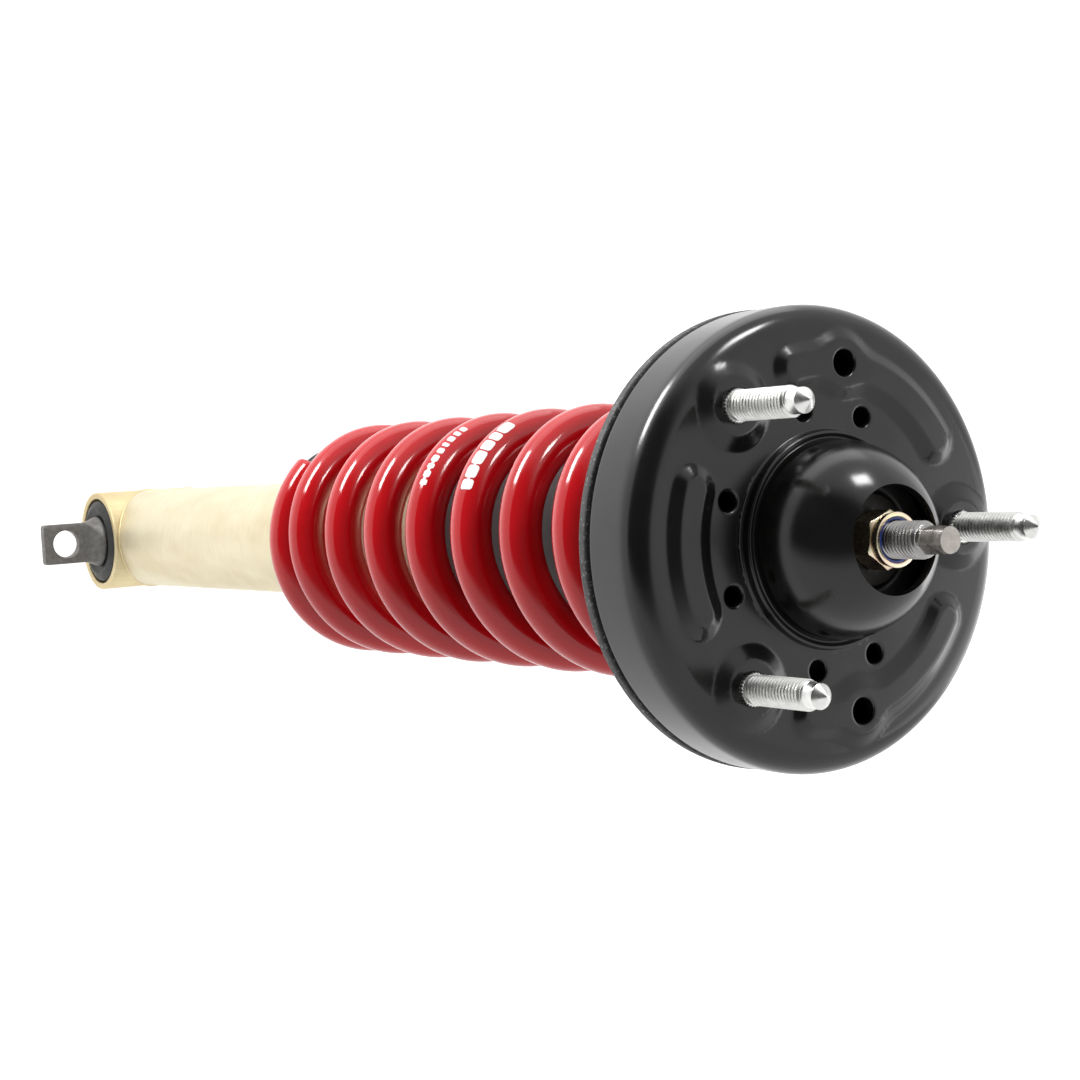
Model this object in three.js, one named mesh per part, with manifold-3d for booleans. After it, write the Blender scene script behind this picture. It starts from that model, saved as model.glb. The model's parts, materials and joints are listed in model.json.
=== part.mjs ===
// Coil-over strut assembly: a gas damper with a coil spring round it, a stamped
// three-stud mount on its rod and a rubber-bushed bar pin at its foot.
// Millimetres. +Z runs along the strut towards the body of the vehicle, X runs along
// the bar pin, and the origin is on the strut's axis, level with the tops of the three
// bosses that seat against the strut tower. The strut is drawn at full extension.

import * as THREE from "three";
import { mergeVertices } from "three/addons/utils/BufferGeometryUtils.js";
import Module from "manifold-3d";

const wasm = await Module();
wasm.setup();

// ---------------------------------------------------------------- driving dimensions

const gap = 0.3;                  // clearance left between touching pieces
const slip = 0.4;                 // clearance round the rod and on the tube
const overrun = 1;                // how far a cutter or a joined piece runs past a face
const bossRise = 2.4;             // bosses and pads stand this far above the plate

// stamped top plate
const rimRadius = 77;
const rimCorner = 8.2;            // outside radius between the flat and the flange
const rimFoot = -27.1;            // lower edge of the flange
const plateSheet = 3;
const plateTop = -bossRise;
const plateUnder = plateTop - plateSheet;
const domeRadius = 32.5;
const domeCentre = 2.2;           // height of the dome's centre
const domeMouth = 17.5;           // radius of the opening over the rod nut
const stepRadius = 35.5;          // step round the foot of the dome
const stepChamfer = 1.2;
const studCircle = 57.3;
const studAngles = [0, 128.7, -128.7];
const bossFoot = 15;
const bossFace = 9.8;
const raisedSink = 0.25;          // how far a boss or pad is let into the plate
const weldHoleCircle = 42.7;
const weldHoleAngles = [66.2, 100, 159.5, -66.2, -100, -159.5];
const weldHoleRadius = 3.4;
const locatingHoleCircle = 57.7;
const locatingHoleAngles = [81, -81];
const locatingHoleRadius = 4.4;
const locatingBulge = 10.5;
const bulgeSlope = 1;
const padInner = 50.5;
const padOuter = 63.5;
const padSpans = [[154.5, 205.5], [26, 107], [-107, -26]];

// M10 studs
const studRadius = 5;
const studTip = 35;
const studThreadTop = 27.6;
const studDogRadius = 4;          // plain nose above the thread
const studDogTop = 32;
const studNoseRadius = 0.5;
const studHoleRadius = 5.6;
const studHeadRadius = 8.5;
const studHeadThickness = 3;

// rod, bush and nut
const rodRadius = 7;
const rodThreadRadius = 6;
const rodNeck = 5;                // core of the thread, and the end that holds the piston
const rodTop = 53.5;
const hexTipLength = 10;
const hexTipFlats = 8.4;
const nutFlats = 17;
const nutFoot = 18.1;
const nutShoulder = 26.6;
const nutTop = 30.4;
const nutCollar = 8.9;
const nutCollarWall = 1.2;
const nylonSeat = 27.8;           // foot of the pocket that holds the locking ring
const nylonTop = 30;
const sleeveTop = 15;
const sleeveFoot = -24;
const sleeveRadius = 10;
const topWasherRadius = 15;
const reboundWasherRadius = 16;
const bushShoulder = [26.3, 13];
const bushCrown = [23, 17];
const bushLip = [16.5, 17];
const bushLipInner = 15.6;
const rodShoulder = -27.2;

// spring seat and isolator
const seatPlateTop = -22.5;
const seatPlateSheet = 2.5;
const seatPlateBore = 18;
const seatPlateLip = 8.5;         // height of the turned-up edge
const seatPlateFit = 0.6;         // clearance to the flange round it
const isolatorRim = 77.3;
const isolatorFoot = -33.1;
const isolatorLipTop = -29.3;
const isolatorLipWidth = 4;
const isolatorDish = 2.5;         // depth of the hollow between the lip and the spring
const isolatorSpigot = 6;         // how far the inner collar reaches into the coil
const isolatorBead = 3;

// coil spring
const wireRadius = 7.9;
const coilRadius = 43.4;          // centre of the wire
const coilTop = -41.6;            // centre of the wire at the upper tip
const coilFoot = -317.7;          // centre of the wire at the lower tip
const coilPitch = 35.25;
const endPitch = 5;               // pitch at the closed ends
const endTurns = 1.3;             // turns over which an end opens to the full pitch
const lowerTipAngle = 131;
const coilSides = 8;
const stepsPerTurn = 14;

// dust tube and bump stop
const dustRadius = 31.5;
const dustWall = 1.6;
const dustFoot = -206;
const dustFlangeBore = 17;
const dustFlangeSheet = 2.5;
const cupFoot = -44;
const cupWall = 1.8;
const cupCrown = 2.3;             // thickness of the cup's top
const bumpTop = -30.7;
const bumpFoot = -101;
const bumpRadius = 20;
const bumpLobes = 3;
const bumpWaist = 15;
const lobeTaper = 1.2;            // each lobe is this much smaller than the one above

// damper
const tubeRadius = 27;
const boreRadius = 23;
const tubeTop = -184;
const stopRingGrooves = [-352, -325, -298];   // snap ring heights, lowest in use
const grooveDepth = 1.4;
const grooveHeight = 3.2;
const snapRingStand = 2.8;        // how far the snap ring stands off the tube
const retainingGroove = -189.1;
const retainingGrooveHalf = 1.3;
const retainingRingHalf = 1;
const tubeFloor = -556;
const tubeFloorFoot = -564;
const tubeFloorTop = -550;
const tubeFloorHollow = 20;
const wallFit = 0.4;              // clearance of a piece inside the bore

// rod guide and seals, from the oil side up
const guideFoot = -222;
const guideTop = -200;
const guideCounterbore = -204;
const guideCounterboreWidth = 8;
const oRingGroove = [-212.2, -208.6];
const oRingDepth = 2.3;
const sealTop = -197.6;
const capFoot = -196.9;
const capTop = -190.6;
const wiperTop = -188.6;
const wiperWidth = 3;

// piston and shims, from the top down
const bumperTop = -222.5;
const bumperFoot = -229;
const bumperRadius = 14;
const reboundStopTop = -229.3;
const reboundStopFoot = -232.9;
const reboundStopRadius = 12.5;
const neckTop = -233.2;
const shimRadius = 17;
const pistonTop = -236.3;
const pistonFoot = -252;
const pistonFit = 0.8;
const bandHalf = 4;
const bandDepth = 1.4;
const reboundShimFoot = -255;
const pistonNutFlats = 17;
const pistonNutFoot = -263.5;
const rodFoot = -267;

// gas piston
const gasPistonTop = -470;
const gasPistonFoot = -486;
const gasPistonHollow = [15, 5];  // radius and depth of the hollow in its foot
const gasSealHalf = 1.6;
const gasSealDepth = 2.5;

// lower spring perch
const perchRadius = 44.5;
const perchTop = -329.2;
const perchSheet = 3;
const perchCollar = 3;            // wall of the collar that rests on the snap ring
const perchSpigot = 4;            // wall of the spigot that centres the pad
const perchSpigotTop = -319.2;
const perchFillet = 2;
const padThickness = 3;
const padEdge = 0.6;

// lower eye and bar pin
const eyeCentre = -593.6;
const eyeRadius = 27.2;
const eyeBore = 23.7;
const eyeLength = 58;
const bushBulge = 1.2;            // how far the rubber stands out of the eye
const bushRim = [5, 1, 2.5];      // widths of the bulge, its shoulder and the edge chamfer
const pinRadius = 11.5;
const pinLength = 122;
const pinThickness = 6;
const pinBoltSpacing = 97;
const pinBoltRadius = 7.5;
const pinFlareEnd = 40;           // distance from the middle where the shank's taper ends

// ---------------------------------------------------------------- helpers

const radians = THREE.MathUtils.degToRad;
const holeFacets = 10;
const studFacets = 16;
const smallFacets = 18;           // flats round a small turned piece
const tubeFacets = 28;            // flats round the tube and what runs on it
const plateFacets = 32;           // flats round the top mount
const padFacets = 8;              // flats along a pad's edge
const colours = {
  blackPaint: [0x0b0b0c, 0.25, 0.2],
  zinc: [0xd2d3d0, 0.35, 0.9],
  yellowZinc: [0xd9bf8f, 0.35, 0.85],
  goldZinc: [0xd8cca4, 0.38, 0.8],
  steel: [0xa9aaa9, 0.35, 0.9],
  chrome: [0xdadcdd, 0.12, 1],
  redPowder: [0xa5101c, 0.3, 0.1],
  rubber: [0x1b1b1c, 0.8, 0],
  urethane: [0xa8241c, 0.6, 0],
  dustPlastic: [0x3b3b38, 0.6, 0],
  nylon: [0x2b3f8c, 0.5, 0],
  greyPaint: [0x3d3c3a, 0.5, 0.3],
  sealRubber: [0x26221f, 0.6, 0],
  ptfe: [0x8a6b46, 0.5, 0],
  alloy: [0xb9bcc0, 0.4, 0.9],
};

const strut = new THREE.Group();

function add(name, geometry, colour) {
  const [color, roughness, metalness] = colours[colour];
  const material = new THREE.MeshStandardMaterial({ color, roughness, metalness });
  const mesh = new THREE.Mesh(geometry, material);
  mesh.name = name;
  strut.add(mesh);
}

// Turns a closed outline of [radius, height] points about the strut's axis.
function turned(outline, segments = smallFacets) {
  let area = 0;
  outline.forEach(([r, z], i) => {
    const [nextR, nextZ] = outline[(i + 1) % outline.length];
    area += r * nextZ - nextR * z;
  });
  const ordered = area > 0 ? outline : [...outline].reverse();
  const points = [...ordered, ordered[0]].map(([r, z]) => new THREE.Vector2(r, z));
  return new THREE.LatheGeometry(points, segments).rotateX(Math.PI / 2);
}

// A plain ring with a square section.
function ring(inner, outer, foot, top, segments = smallFacets) {
  return turned([[inner, foot], [outer, foot], [outer, top], [inner, top]], segments);
}

// A solid disc or pin standing on `foot`, tapering from one radius to the other.
function post(footRadius, topRadius, foot, top, segments = smallFacets) {
  const geometry = new THREE.CylinderGeometry(topRadius, footRadius, top - foot, segments);
  return geometry.rotateX(Math.PI / 2).translate(0, 0, (foot + top) / 2);
}

// Points of an arc in the [radius, height] plane, in degrees from the radius axis.
function arc(centreR, centreZ, radius, from, to, steps) {
  return Array.from({ length: steps + 1 }, (_, i) => {
    const angle = radians(from + ((to - from) * i) / steps);
    return [centreR + radius * Math.cos(angle), centreZ + radius * Math.sin(angle)];
  });
}

function placed(geometry, radius, degrees) {
  const angle = radians(degrees);
  return geometry.clone().translate(radius * Math.cos(angle), radius * Math.sin(angle), 0);
}

function solid(geometry) {
  const bare = geometry.clone();
  bare.deleteAttribute("normal");
  bare.deleteAttribute("uv");
  const merged = mergeVertices(bare, 1e-3);
  const mesh = new wasm.Mesh({
    numProp: 3,
    vertProperties: new Float32Array(merged.attributes.position.array),
    triVerts: new Uint32Array(merged.index.array),
  });
  mesh.merge();
  return new wasm.Manifold(mesh);
}

// Joins and cuts: the body plus every addition, less every cut.
function shaped(body, additions, cuts) {
  let result = solid(body);
  additions.forEach((piece) => { result = result.add(solid(piece)); });
  cuts.forEach((piece) => { result = result.subtract(solid(piece)); });
  const mesh = result.getMesh();
  const geometry = new THREE.BufferGeometry();
  geometry.setAttribute("position", new THREE.BufferAttribute(mesh.vertProperties, 3));
  geometry.setIndex(new THREE.BufferAttribute(mesh.triVerts, 1));
  return geometry;
}

function extruded(shape, foot, top, curveSegments = 12) {
  const options = { depth: top - foot, bevelEnabled: false, curveSegments };
  return new THREE.ExtrudeGeometry(shape, options).translate(0, 0, foot);
}

function hexagon(flats, foot, top) {
  return post(flats / Math.sqrt(3), flats / Math.sqrt(3), foot, top, 6);
}

// ---------------------------------------------------------------- upper mount

function padShape([from, to]) {
  const shape = new THREE.Shape();
  shape.absarc(0, 0, padOuter, radians(from), radians(to), false);
  shape.absarc(0, 0, padInner, radians(to), radians(from), true);
  return shape;
}

function mountPlate() {
  const mouthAngle = THREE.MathUtils.radToDeg(Math.acos(domeMouth / domeRadius));
  const flatEdge = rimRadius - rimCorner;
  const stepFoot = stepRadius + stepChamfer / 2;
  const outside = [
    ...arc(0, domeCentre, domeRadius, mouthAngle, 0, 6),
    [stepRadius - stepChamfer, domeCentre - stepChamfer],
    [stepRadius, domeCentre - 2 * stepChamfer],
    [stepFoot, plateTop],
    ...arc(flatEdge, plateTop - rimCorner, rimCorner, 90, 0, 3),
    [rimRadius, rimFoot],
  ];
  const inside = [
    [rimRadius - plateSheet, rimFoot],
    ...arc(flatEdge, plateTop - rimCorner, rimCorner - plateSheet, 0, 90, 2),
    [stepFoot - plateSheet, plateUnder],
    ...arc(0, domeCentre, domeRadius - plateSheet, 0, mouthAngle, 5),
  ];
  const raisedFoot = plateTop - raisedSink;
  const boss = post(bossFoot, bossFace, raisedFoot, 0);
  const pads = padSpans.map((span) => extruded(padShape(span), raisedFoot, 0, padFacets));
  const bulge = post(locatingBulge + bulgeSlope, locatingBulge - bulgeSlope, raisedFoot, 0);
  const punch = (radius, facets) => post(radius, radius, plateUnder - overrun, overrun, facets);
  const stud = punch(studHoleRadius, studFacets);
  const locating = punch(locatingHoleRadius, studFacets);
  const weld = punch(weldHoleRadius, holeFacets);
  const raised = [
    ...studAngles.map((a) => placed(boss, studCircle, a)),
    ...pads,
    ...locatingHoleAngles.map((a) => placed(bulge, locatingHoleCircle, a)),
  ];
  const holes = [
    ...studAngles.map((a) => placed(stud, studCircle, a)),
    ...locatingHoleAngles.map((a) => placed(locating, locatingHoleCircle, a)),
    ...weldHoleAngles.map((a) => placed(weld, weldHoleCircle, a)),
  ];
  return shaped(turned([...outside, ...inside], plateFacets), raised, holes);
}

function stud() {
  const headTop = plateUnder - gap;
  return turned([
    [0, headTop - studHeadThickness],
    [studHeadRadius, headTop - studHeadThickness],
    [studHeadRadius, headTop],
    [studRadius, headTop],
    [studRadius, studThreadTop],
    [studDogRadius, studThreadTop + overrun],
    [studDogRadius, studDogTop],
    [studNoseRadius, studTip],
    [0, studTip],
  ], studFacets);
}

function rubberBush() {
  const skirt = domeRadius - plateSheet - 2 * gap;
  return turned([
    [sleeveRadius + gap, seatPlateTop + gap],
    [skirt, seatPlateTop + gap],
    [skirt, domeCentre],
    bushShoulder,
    bushCrown,
    bushLip,
    [bushLipInner, sleeveTop - gap],
    [sleeveRadius + gap, sleeveTop - gap],
  ]);
}

function rodNut() {
  const body = hexagon(nutFlats, nutFoot, nutShoulder);
  const collar = post(nutCollar, nutCollar - gap, nutShoulder - overrun, nutTop);
  const boreRadius = rodThreadRadius + gap;
  const bore = post(boreRadius, boreRadius, nutFoot - overrun, nutTop + overrun);
  const pocketRadius = nutCollar - nutCollarWall;
  const pocket = post(pocketRadius, pocketRadius, nylonSeat, nutTop + overrun);
  return shaped(body, [collar], [bore, pocket]);
}

function pistonRod() {
  const threadTop = rodTop - hexTipLength;
  const shank = turned([
    [0, rodFoot],
    [rodNeck, rodFoot],
    [rodNeck, neckTop],
    [rodRadius, neckTop],
    [rodRadius, rodShoulder],
    [rodThreadRadius, rodShoulder],
    [rodThreadRadius, threadTop - overrun],
    [rodNeck, threadTop],
    [0, threadTop],
  ]);
  return shaped(shank, [hexagon(hexTipFlats, threadTop - overrun, rodTop)], []);
}

function seatPlate() {
  const foot = seatPlateTop - seatPlateSheet;
  const edge = rimRadius - plateSheet - seatPlateFit;
  return turned([
    [seatPlateBore, foot],
    [edge, foot],
    [edge, seatPlateTop + seatPlateLip],
    [edge - seatPlateSheet, seatPlateTop + seatPlateLip],
    [edge - seatPlateSheet, seatPlateTop],
    [seatPlateBore, seatPlateTop],
  ], plateFacets);
}

function springIsolator() {
  const top = seatPlateTop - seatPlateSheet - gap;
  const inner = coilRadius - wireRadius - isolatorBead;
  const outer = coilRadius + wireRadius + isolatorBead / 2;
  const lipInner = isolatorRim - isolatorLipWidth;
  return turned([
    [inner, top],
    [rimRadius - plateSheet - seatPlateFit, top],
    [rimRadius - plateSheet, isolatorLipTop],
    [isolatorRim, isolatorLipTop],
    [isolatorRim, isolatorFoot],
    [lipInner, isolatorFoot],
    [lipInner - 1, isolatorFoot + isolatorDish],
    [outer + isolatorBead + 1, isolatorFoot + isolatorDish],
    [outer + 1, isolatorFoot - isolatorBead],
    [outer, isolatorFoot],
    [inner + 2.4, isolatorFoot],
    [inner + 2, isolatorFoot - isolatorSpigot],
    [inner, isolatorFoot - isolatorSpigot],
  ], plateFacets);
}

function addUpperMount() {
  add("mount_plate", mountPlate(), "blackPaint");
  studAngles.forEach((angle, i) => {
    add(`stud_${i + 1}`, placed(stud(), studCircle, angle), "zinc");
  });
  add("mount_bush", rubberBush(), "rubber");
  const bore = rodThreadRadius + slip;
  add("bush_sleeve", ring(bore, sleeveRadius, sleeveFoot, sleeveTop), "steel");
  add("top_washer", ring(bore, topWasherRadius, sleeveTop + gap, nutFoot - gap), "greyPaint");
  add("rod_nut", rodNut(), "yellowZinc");
  const nylonOuter = nutCollar - nutCollarWall - gap;
  add("nut_locking_ring",
    ring(rodThreadRadius + gap, nylonOuter, nylonSeat + gap, nylonTop), "nylon");
  add("rebound_washer",
    ring(bore, reboundWasherRadius, rodShoulder + gap, sleeveFoot - gap), "steel");
  add("spring_seat_plate", seatPlate(), "blackPaint");
  add("spring_isolator", springIsolator(), "rubber");
}

// ---------------------------------------------------------------- coil spring

// Height gained `turns` away from a closed end, where the pitch opens smoothly.
function endRise(turns) {
  const u = Math.min(turns / endTurns, 1);
  const opening = (coilPitch - endPitch) * endTurns * (u ** 3 - u ** 4 / 2);
  return endPitch * Math.min(turns, endTurns) + opening + coilPitch * Math.max(turns - endTurns, 0);
}

class CoilPath extends THREE.Curve {
  constructor() {
    super();
    this.turns = 2 * endTurns + (coilTop - coilFoot - 2 * endRise(endTurns)) / coilPitch;
  }

  getPoint(t) {
    const turns = t * this.turns;
    const lowerHalf = turns < this.turns / 2;
    const height = lowerHalf ? coilFoot + endRise(turns) : coilTop - endRise(this.turns - turns);
    const angle = radians(lowerTipAngle) + turns * 2 * Math.PI;
    return new THREE.Vector3(coilRadius * Math.cos(angle), coilRadius * Math.sin(angle), height);
  }
}

function coilSpring() {
  const path = new CoilPath();
  const section = new THREE.Shape();
  for (let side = 0; side < coilSides; side += 1) {
    const angle = (side * 2 * Math.PI) / coilSides;
    const point = [wireRadius * Math.cos(angle), wireRadius * Math.sin(angle)];
    if (side === 0) section.moveTo(...point);
    else section.lineTo(...point);
  }
  const steps = Math.round(path.turns * stepsPerTurn);
  return new THREE.ExtrudeGeometry(section, { steps, extrudePath: path });
}

// ---------------------------------------------------------------- dust tube, bump stop

function dustTube() {
  const top = seatPlateTop - seatPlateSheet - gap;
  const inner = dustRadius - dustWall;
  return turned([
    [inner, dustFoot],
    [dustRadius, dustFoot],
    [dustRadius, top],
    [dustFlangeBore, top],
    [dustFlangeBore, top - dustFlangeSheet],
    [inner, top - dustFlangeSheet],
  ], tubeFacets);
}

function bumpStopCup() {
  const underside = bumpTop + gap;
  const top = underside + cupCrown;
  const bore = rodRadius + slip;
  const inner = bumpRadius + slip;
  return turned([
    [bore, top],
    [inner + cupWall, top],
    [inner + cupWall, cupFoot],
    [inner, cupFoot],
    [inner, underside],
    [bore, underside],
  ], smallFacets);
}

function bumpStop() {
  const bore = rodRadius + 2 * slip;
  const lobeHeight = (cupFoot - bumpFoot) / bumpLobes;
  const side = [];
  for (let lobe = 0; lobe < bumpLobes; lobe += 1) {
    const top = cupFoot - lobe * lobeHeight;
    const swell = bumpRadius - lobe * lobeTaper;
    side.push([swell, top - lobeHeight * 0.25], [swell, top - lobeHeight * 0.65]);
    side.push([bumpWaist - lobe, top - lobeHeight * 0.9]);
  }
  side[side.length - 1] = [bumpWaist - 1, bumpFoot];
  return turned([[bore, bumpTop], [bumpRadius, bumpTop], ...side, [bore, bumpFoot]], tubeFacets);
}

// ---------------------------------------------------------------- rod and piston pack

const neckBore = rodNeck + slip;
const pistonMiddle = (pistonTop + pistonFoot) / 2;

function piston() {
  const edge = boreRadius - pistonFit;
  const seatHalf = bandHalf + gap;
  return turned([
    [neckBore, pistonFoot],
    [edge, pistonFoot],
    [edge, pistonMiddle - seatHalf],
    [edge - bandDepth, pistonMiddle - seatHalf],
    [edge - bandDepth, pistonMiddle + seatHalf],
    [edge, pistonMiddle + seatHalf],
    [edge, pistonTop],
    [neckBore, pistonTop],
  ]);
}

function pistonNut() {
  const body = hexagon(pistonNutFlats, pistonNutFoot, reboundShimFoot - gap);
  const bore = post(neckBore, neckBore, pistonNutFoot - overrun, reboundShimFoot + overrun);
  return shaped(body, [], [bore]);
}

function addRodAndPiston() {
  const rodBore = rodRadius + slip;
  const shimTop = neckTop - gap;
  add("piston_rod", pistonRod(), "chrome");
  add("top_out_bumper", ring(rodBore, bumperRadius, bumperFoot, bumperTop), "sealRubber");
  add("rebound_stop",
    ring(rodBore, reboundStopRadius, reboundStopFoot, reboundStopTop), "steel");
  add("compression_shims", ring(neckBore, shimRadius, pistonTop + gap, shimTop), "steel");
  add("piston", piston(), "alloy");
  const bandInner = boreRadius - pistonFit - bandDepth + gap;
  add("piston_band",
    ring(bandInner, boreRadius - wallFit, pistonMiddle - bandHalf, pistonMiddle + bandHalf), "ptfe");
  add("rebound_shims", ring(neckBore, shimRadius, reboundShimFoot, pistonFoot - gap), "steel");
  add("piston_nut", pistonNut(), "zinc");
}

// ---------------------------------------------------------------- lower spring perch

function perch() {
  const underside = perchTop - perchSheet;
  const bore = tubeRadius + slip;
  const collarFoot = stopRingGrooves[0] + grooveHeight / 2 + gap;
  const flare = bore + perchCollar + perchFillet;
  return turned([
    [bore, collarFoot],
    [bore + perchCollar, collarFoot],
    [bore + perchCollar, underside - perchFillet],
    [flare, underside],
    [perchRadius, underside],
    [perchRadius, perchTop],
    [bore + perchSpigot + perchFillet, perchTop],
    [bore + perchSpigot, perchTop + perchFillet],
    [bore + perchSpigot, perchSpigotTop - overrun],
    [bore + perchSpigot - overrun, perchSpigotTop],
    [bore, perchSpigotTop],
  ], tubeFacets);
}

function addPerchPad() {
  const inner = tubeRadius + slip + perchSpigot + perchFillet + gap;
  const foot = perchTop + gap;
  const outer = perchRadius - padEdge;
  add("perch_pad", ring(inner, outer, foot, foot + padThickness, tubeFacets), "rubber");
}

// ---------------------------------------------------------------- damper body

function damperTube() {
  const floor = eyeCentre;
  const side = [];
  stopRingGrooves.forEach((height) => {
    const half = grooveHeight / 2;
    side.push([tubeRadius, height - half], [tubeRadius - grooveDepth, height - half]);
    side.push([tubeRadius - grooveDepth, height + half], [tubeRadius, height + half]);
  });
  const seatTop = retainingGroove + retainingGrooveHalf;
  const seatFoot = retainingGroove - retainingGrooveHalf;
  const tube = turned([
    [boreRadius, floor],
    [tubeRadius, floor],
    ...side,
    [tubeRadius, tubeTop - grooveDepth],
    [tubeRadius - grooveDepth, tubeTop],
    [boreRadius, tubeTop],
    [boreRadius, seatTop],
    [boreRadius + grooveDepth, seatTop],
    [boreRadius + grooveDepth, seatFoot],
    [boreRadius, seatFoot],
  ], tubeFacets);
  const saddle = eyeRadius + gap;
  const cope = new THREE.CylinderGeometry(saddle, saddle, 3 * tubeRadius, tubeFacets);
  cope.rotateZ(Math.PI / 2).translate(0, 0, eyeCentre);
  return shaped(tube, [], [cope]);
}

// A ring along X at the height of the lower eye.
function eyeRing(inner, outer, length, segments) {
  const half = length / 2;
  const outline = turned([[inner, -half], [outer, -half], [outer, half], [inner, half]], segments);
  return outline.rotateY(Math.PI / 2).translate(0, 0, eyeCentre);
}

function eyeBush() {
  const half = eyeLength / 2;
  const inner = pinRadius + gap;
  const outer = eyeBore - gap;
  const [bulge, shoulder, chamfer] = bushRim;
  const end = [
    [outer, half - chamfer],
    [outer - shoulder, half - shoulder / 2],
    [outer - bulge, half + bushBulge],
    [inner, half - shoulder],
  ];
  const otherEnd = end.map(([r, z]) => [r, -z]).reverse();
  const bush = turned([...otherEnd, ...end]);
  return bush.rotateY(Math.PI / 2).translate(0, 0, eyeCentre);
}

const gasMiddle = (gasPistonTop + gasPistonFoot) / 2;

function floatingPiston() {
  const edge = boreRadius - wallFit;
  const seatHalf = gasSealHalf + gap;
  const [hollowRadius, hollowDepth] = gasPistonHollow;
  return turned([
    [0, gasPistonFoot + hollowDepth],
    [hollowRadius, gasPistonFoot + hollowDepth],
    [hollowRadius, gasPistonFoot],
    [edge, gasPistonFoot],
    [edge, gasMiddle - seatHalf],
    [edge - gasSealDepth, gasMiddle - seatHalf],
    [edge - gasSealDepth, gasMiddle + seatHalf],
    [edge, gasMiddle + seatHalf],
    [edge, gasPistonTop],
    [0, gasPistonTop],
  ]);
}

function rodGuide() {
  const bore = rodRadius + slip;
  const edge = boreRadius - wallFit;
  const [grooveFoot, grooveTop] = oRingGroove;
  return turned([
    [bore, guideFoot],
    [edge, guideFoot],
    [edge, grooveFoot],
    [edge - oRingDepth, grooveFoot],
    [edge - oRingDepth, grooveTop],
    [edge, grooveTop],
    [edge, guideTop],
    [bore + guideCounterboreWidth, guideTop],
    [bore + guideCounterboreWidth, guideCounterbore],
    [bore, guideCounterbore],
  ]);
}

function tubeBase() {
  const edge = boreRadius - wallFit;
  return turned([
    [0, tubeFloor],
    [tubeFloorHollow, tubeFloor],
    [tubeFloorHollow, tubeFloorFoot],
    [edge, tubeFloorFoot],
    [edge, tubeFloorTop],
    [0, tubeFloorTop],
  ]);
}

function snapRing() {
  const half = grooveHeight / 2 - gap;
  const height = stopRingGrooves[0];
  const inner = tubeRadius - grooveDepth + gap;
  return ring(inner, tubeRadius + snapRingStand, height - half, height + half, tubeFacets);
}

function retainingRing() {
  const inner = boreRadius - 2 * retainingRingHalf;
  const outer = boreRadius + grooveDepth - gap;
  const foot = retainingGroove - retainingRingHalf;
  return ring(inner, outer, foot, retainingGroove + retainingRingHalf, tubeFacets);
}

function addDamperBody() {
  const bore = rodRadius + slip;
  const edge = boreRadius - wallFit;
  const wiperOuter = bore + wiperWidth;
  const [grooveFoot, grooveTop] = oRingGroove;
  const sealOuter = bore + guideCounterboreWidth - gap;
  add("damper_tube", damperTube(), "goldZinc");
  add("snap_ring", snapRing(), "zinc");
  add("rod_guide", rodGuide(), "alloy");
  add("guide_o_ring",
    ring(edge - oRingDepth + gap, edge + wallFit - gap, grooveFoot + gap, grooveTop - gap),
    "sealRubber");
  add("rod_seal", ring(bore, sealOuter, guideCounterbore + gap, sealTop), "sealRubber");
  add("end_cap", ring(wiperOuter + slip, edge, capFoot, capTop), "greyPaint");
  add("rod_wiper", ring(bore, wiperOuter, capFoot, wiperTop), "sealRubber");
  add("retaining_ring", retainingRing(), "zinc");
  add("tube_base", tubeBase(), "steel");
  add("lower_eye", eyeRing(eyeBore, eyeRadius, eyeLength, tubeFacets), "goldZinc");
  add("eye_bush", eyeBush(), "rubber");
}

function addGasPiston() {
  const edge = boreRadius - gap;
  const inner = boreRadius - wallFit - gasSealDepth + gap;
  add("floating_piston", floatingPiston(), "alloy");
  add("floating_piston_seal",
    ring(inner, edge, gasMiddle - gasSealHalf, gasMiddle + gasSealHalf), "sealRubber");
}

// ---------------------------------------------------------------- bar pin

function barPin() {
  const shankHalf = eyeLength / 2 + overrun;
  const flatHalf = pinThickness / 2;
  const shank = new THREE.CylinderGeometry(pinRadius, pinRadius, 2 * shankHalf);
  shank.rotateZ(Math.PI / 2).translate(0, 0, eyeCentre);
  const flatWidth = 2 * Math.sqrt(pinRadius ** 2 - flatHalf ** 2);
  const flat = new THREE.BoxGeometry(pinLength, flatWidth, pinThickness);
  flat.translate(0, 0, eyeCentre);
  const flare = post(pinRadius, flatHalf, shankHalf - overrun, pinFlareEnd);
  const flares = [1, -1].map((side) => {
    const end = flare.clone().rotateY((side * Math.PI) / 2);
    return end.translate(0, 0, eyeCentre);
  });
  const bolt = post(pinBoltRadius, pinBoltRadius, eyeCentre - pinRadius, eyeCentre + pinRadius);
  const bolts = [0, 180].map((angle) => placed(bolt, pinBoltSpacing / 2, angle));
  return shaped(shank, [flat, ...flares], bolts);
}

addUpperMount();
add("coil_spring", coilSpring(), "redPowder");
add("dust_tube", dustTube(), "dustPlastic");
add("bump_stop_cup", bumpStopCup(), "steel");
add("bump_stop", bumpStop(), "urethane");
addRodAndPiston();
add("lower_spring_perch", perch(), "blackPaint");
addPerchPad();
addDamperBody();
addGasPiston();
add("bar_pin", barPin(), "greyPaint");

export default strut;
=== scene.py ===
"""Looks of a coil-over strut assembly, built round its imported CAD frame.

Lengths are in millimetres until a mesh is made. +Z runs along the strut towards the tower, +X along the
bar pin, and the origin is on the axis, level with the tops of the stud bosses.
"""
import json
import math

import bmesh
import bpy
import numpy as np
from mathutils import Matrix, Vector
from mathutils.geometry import delaunay_2d_cdt


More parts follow.
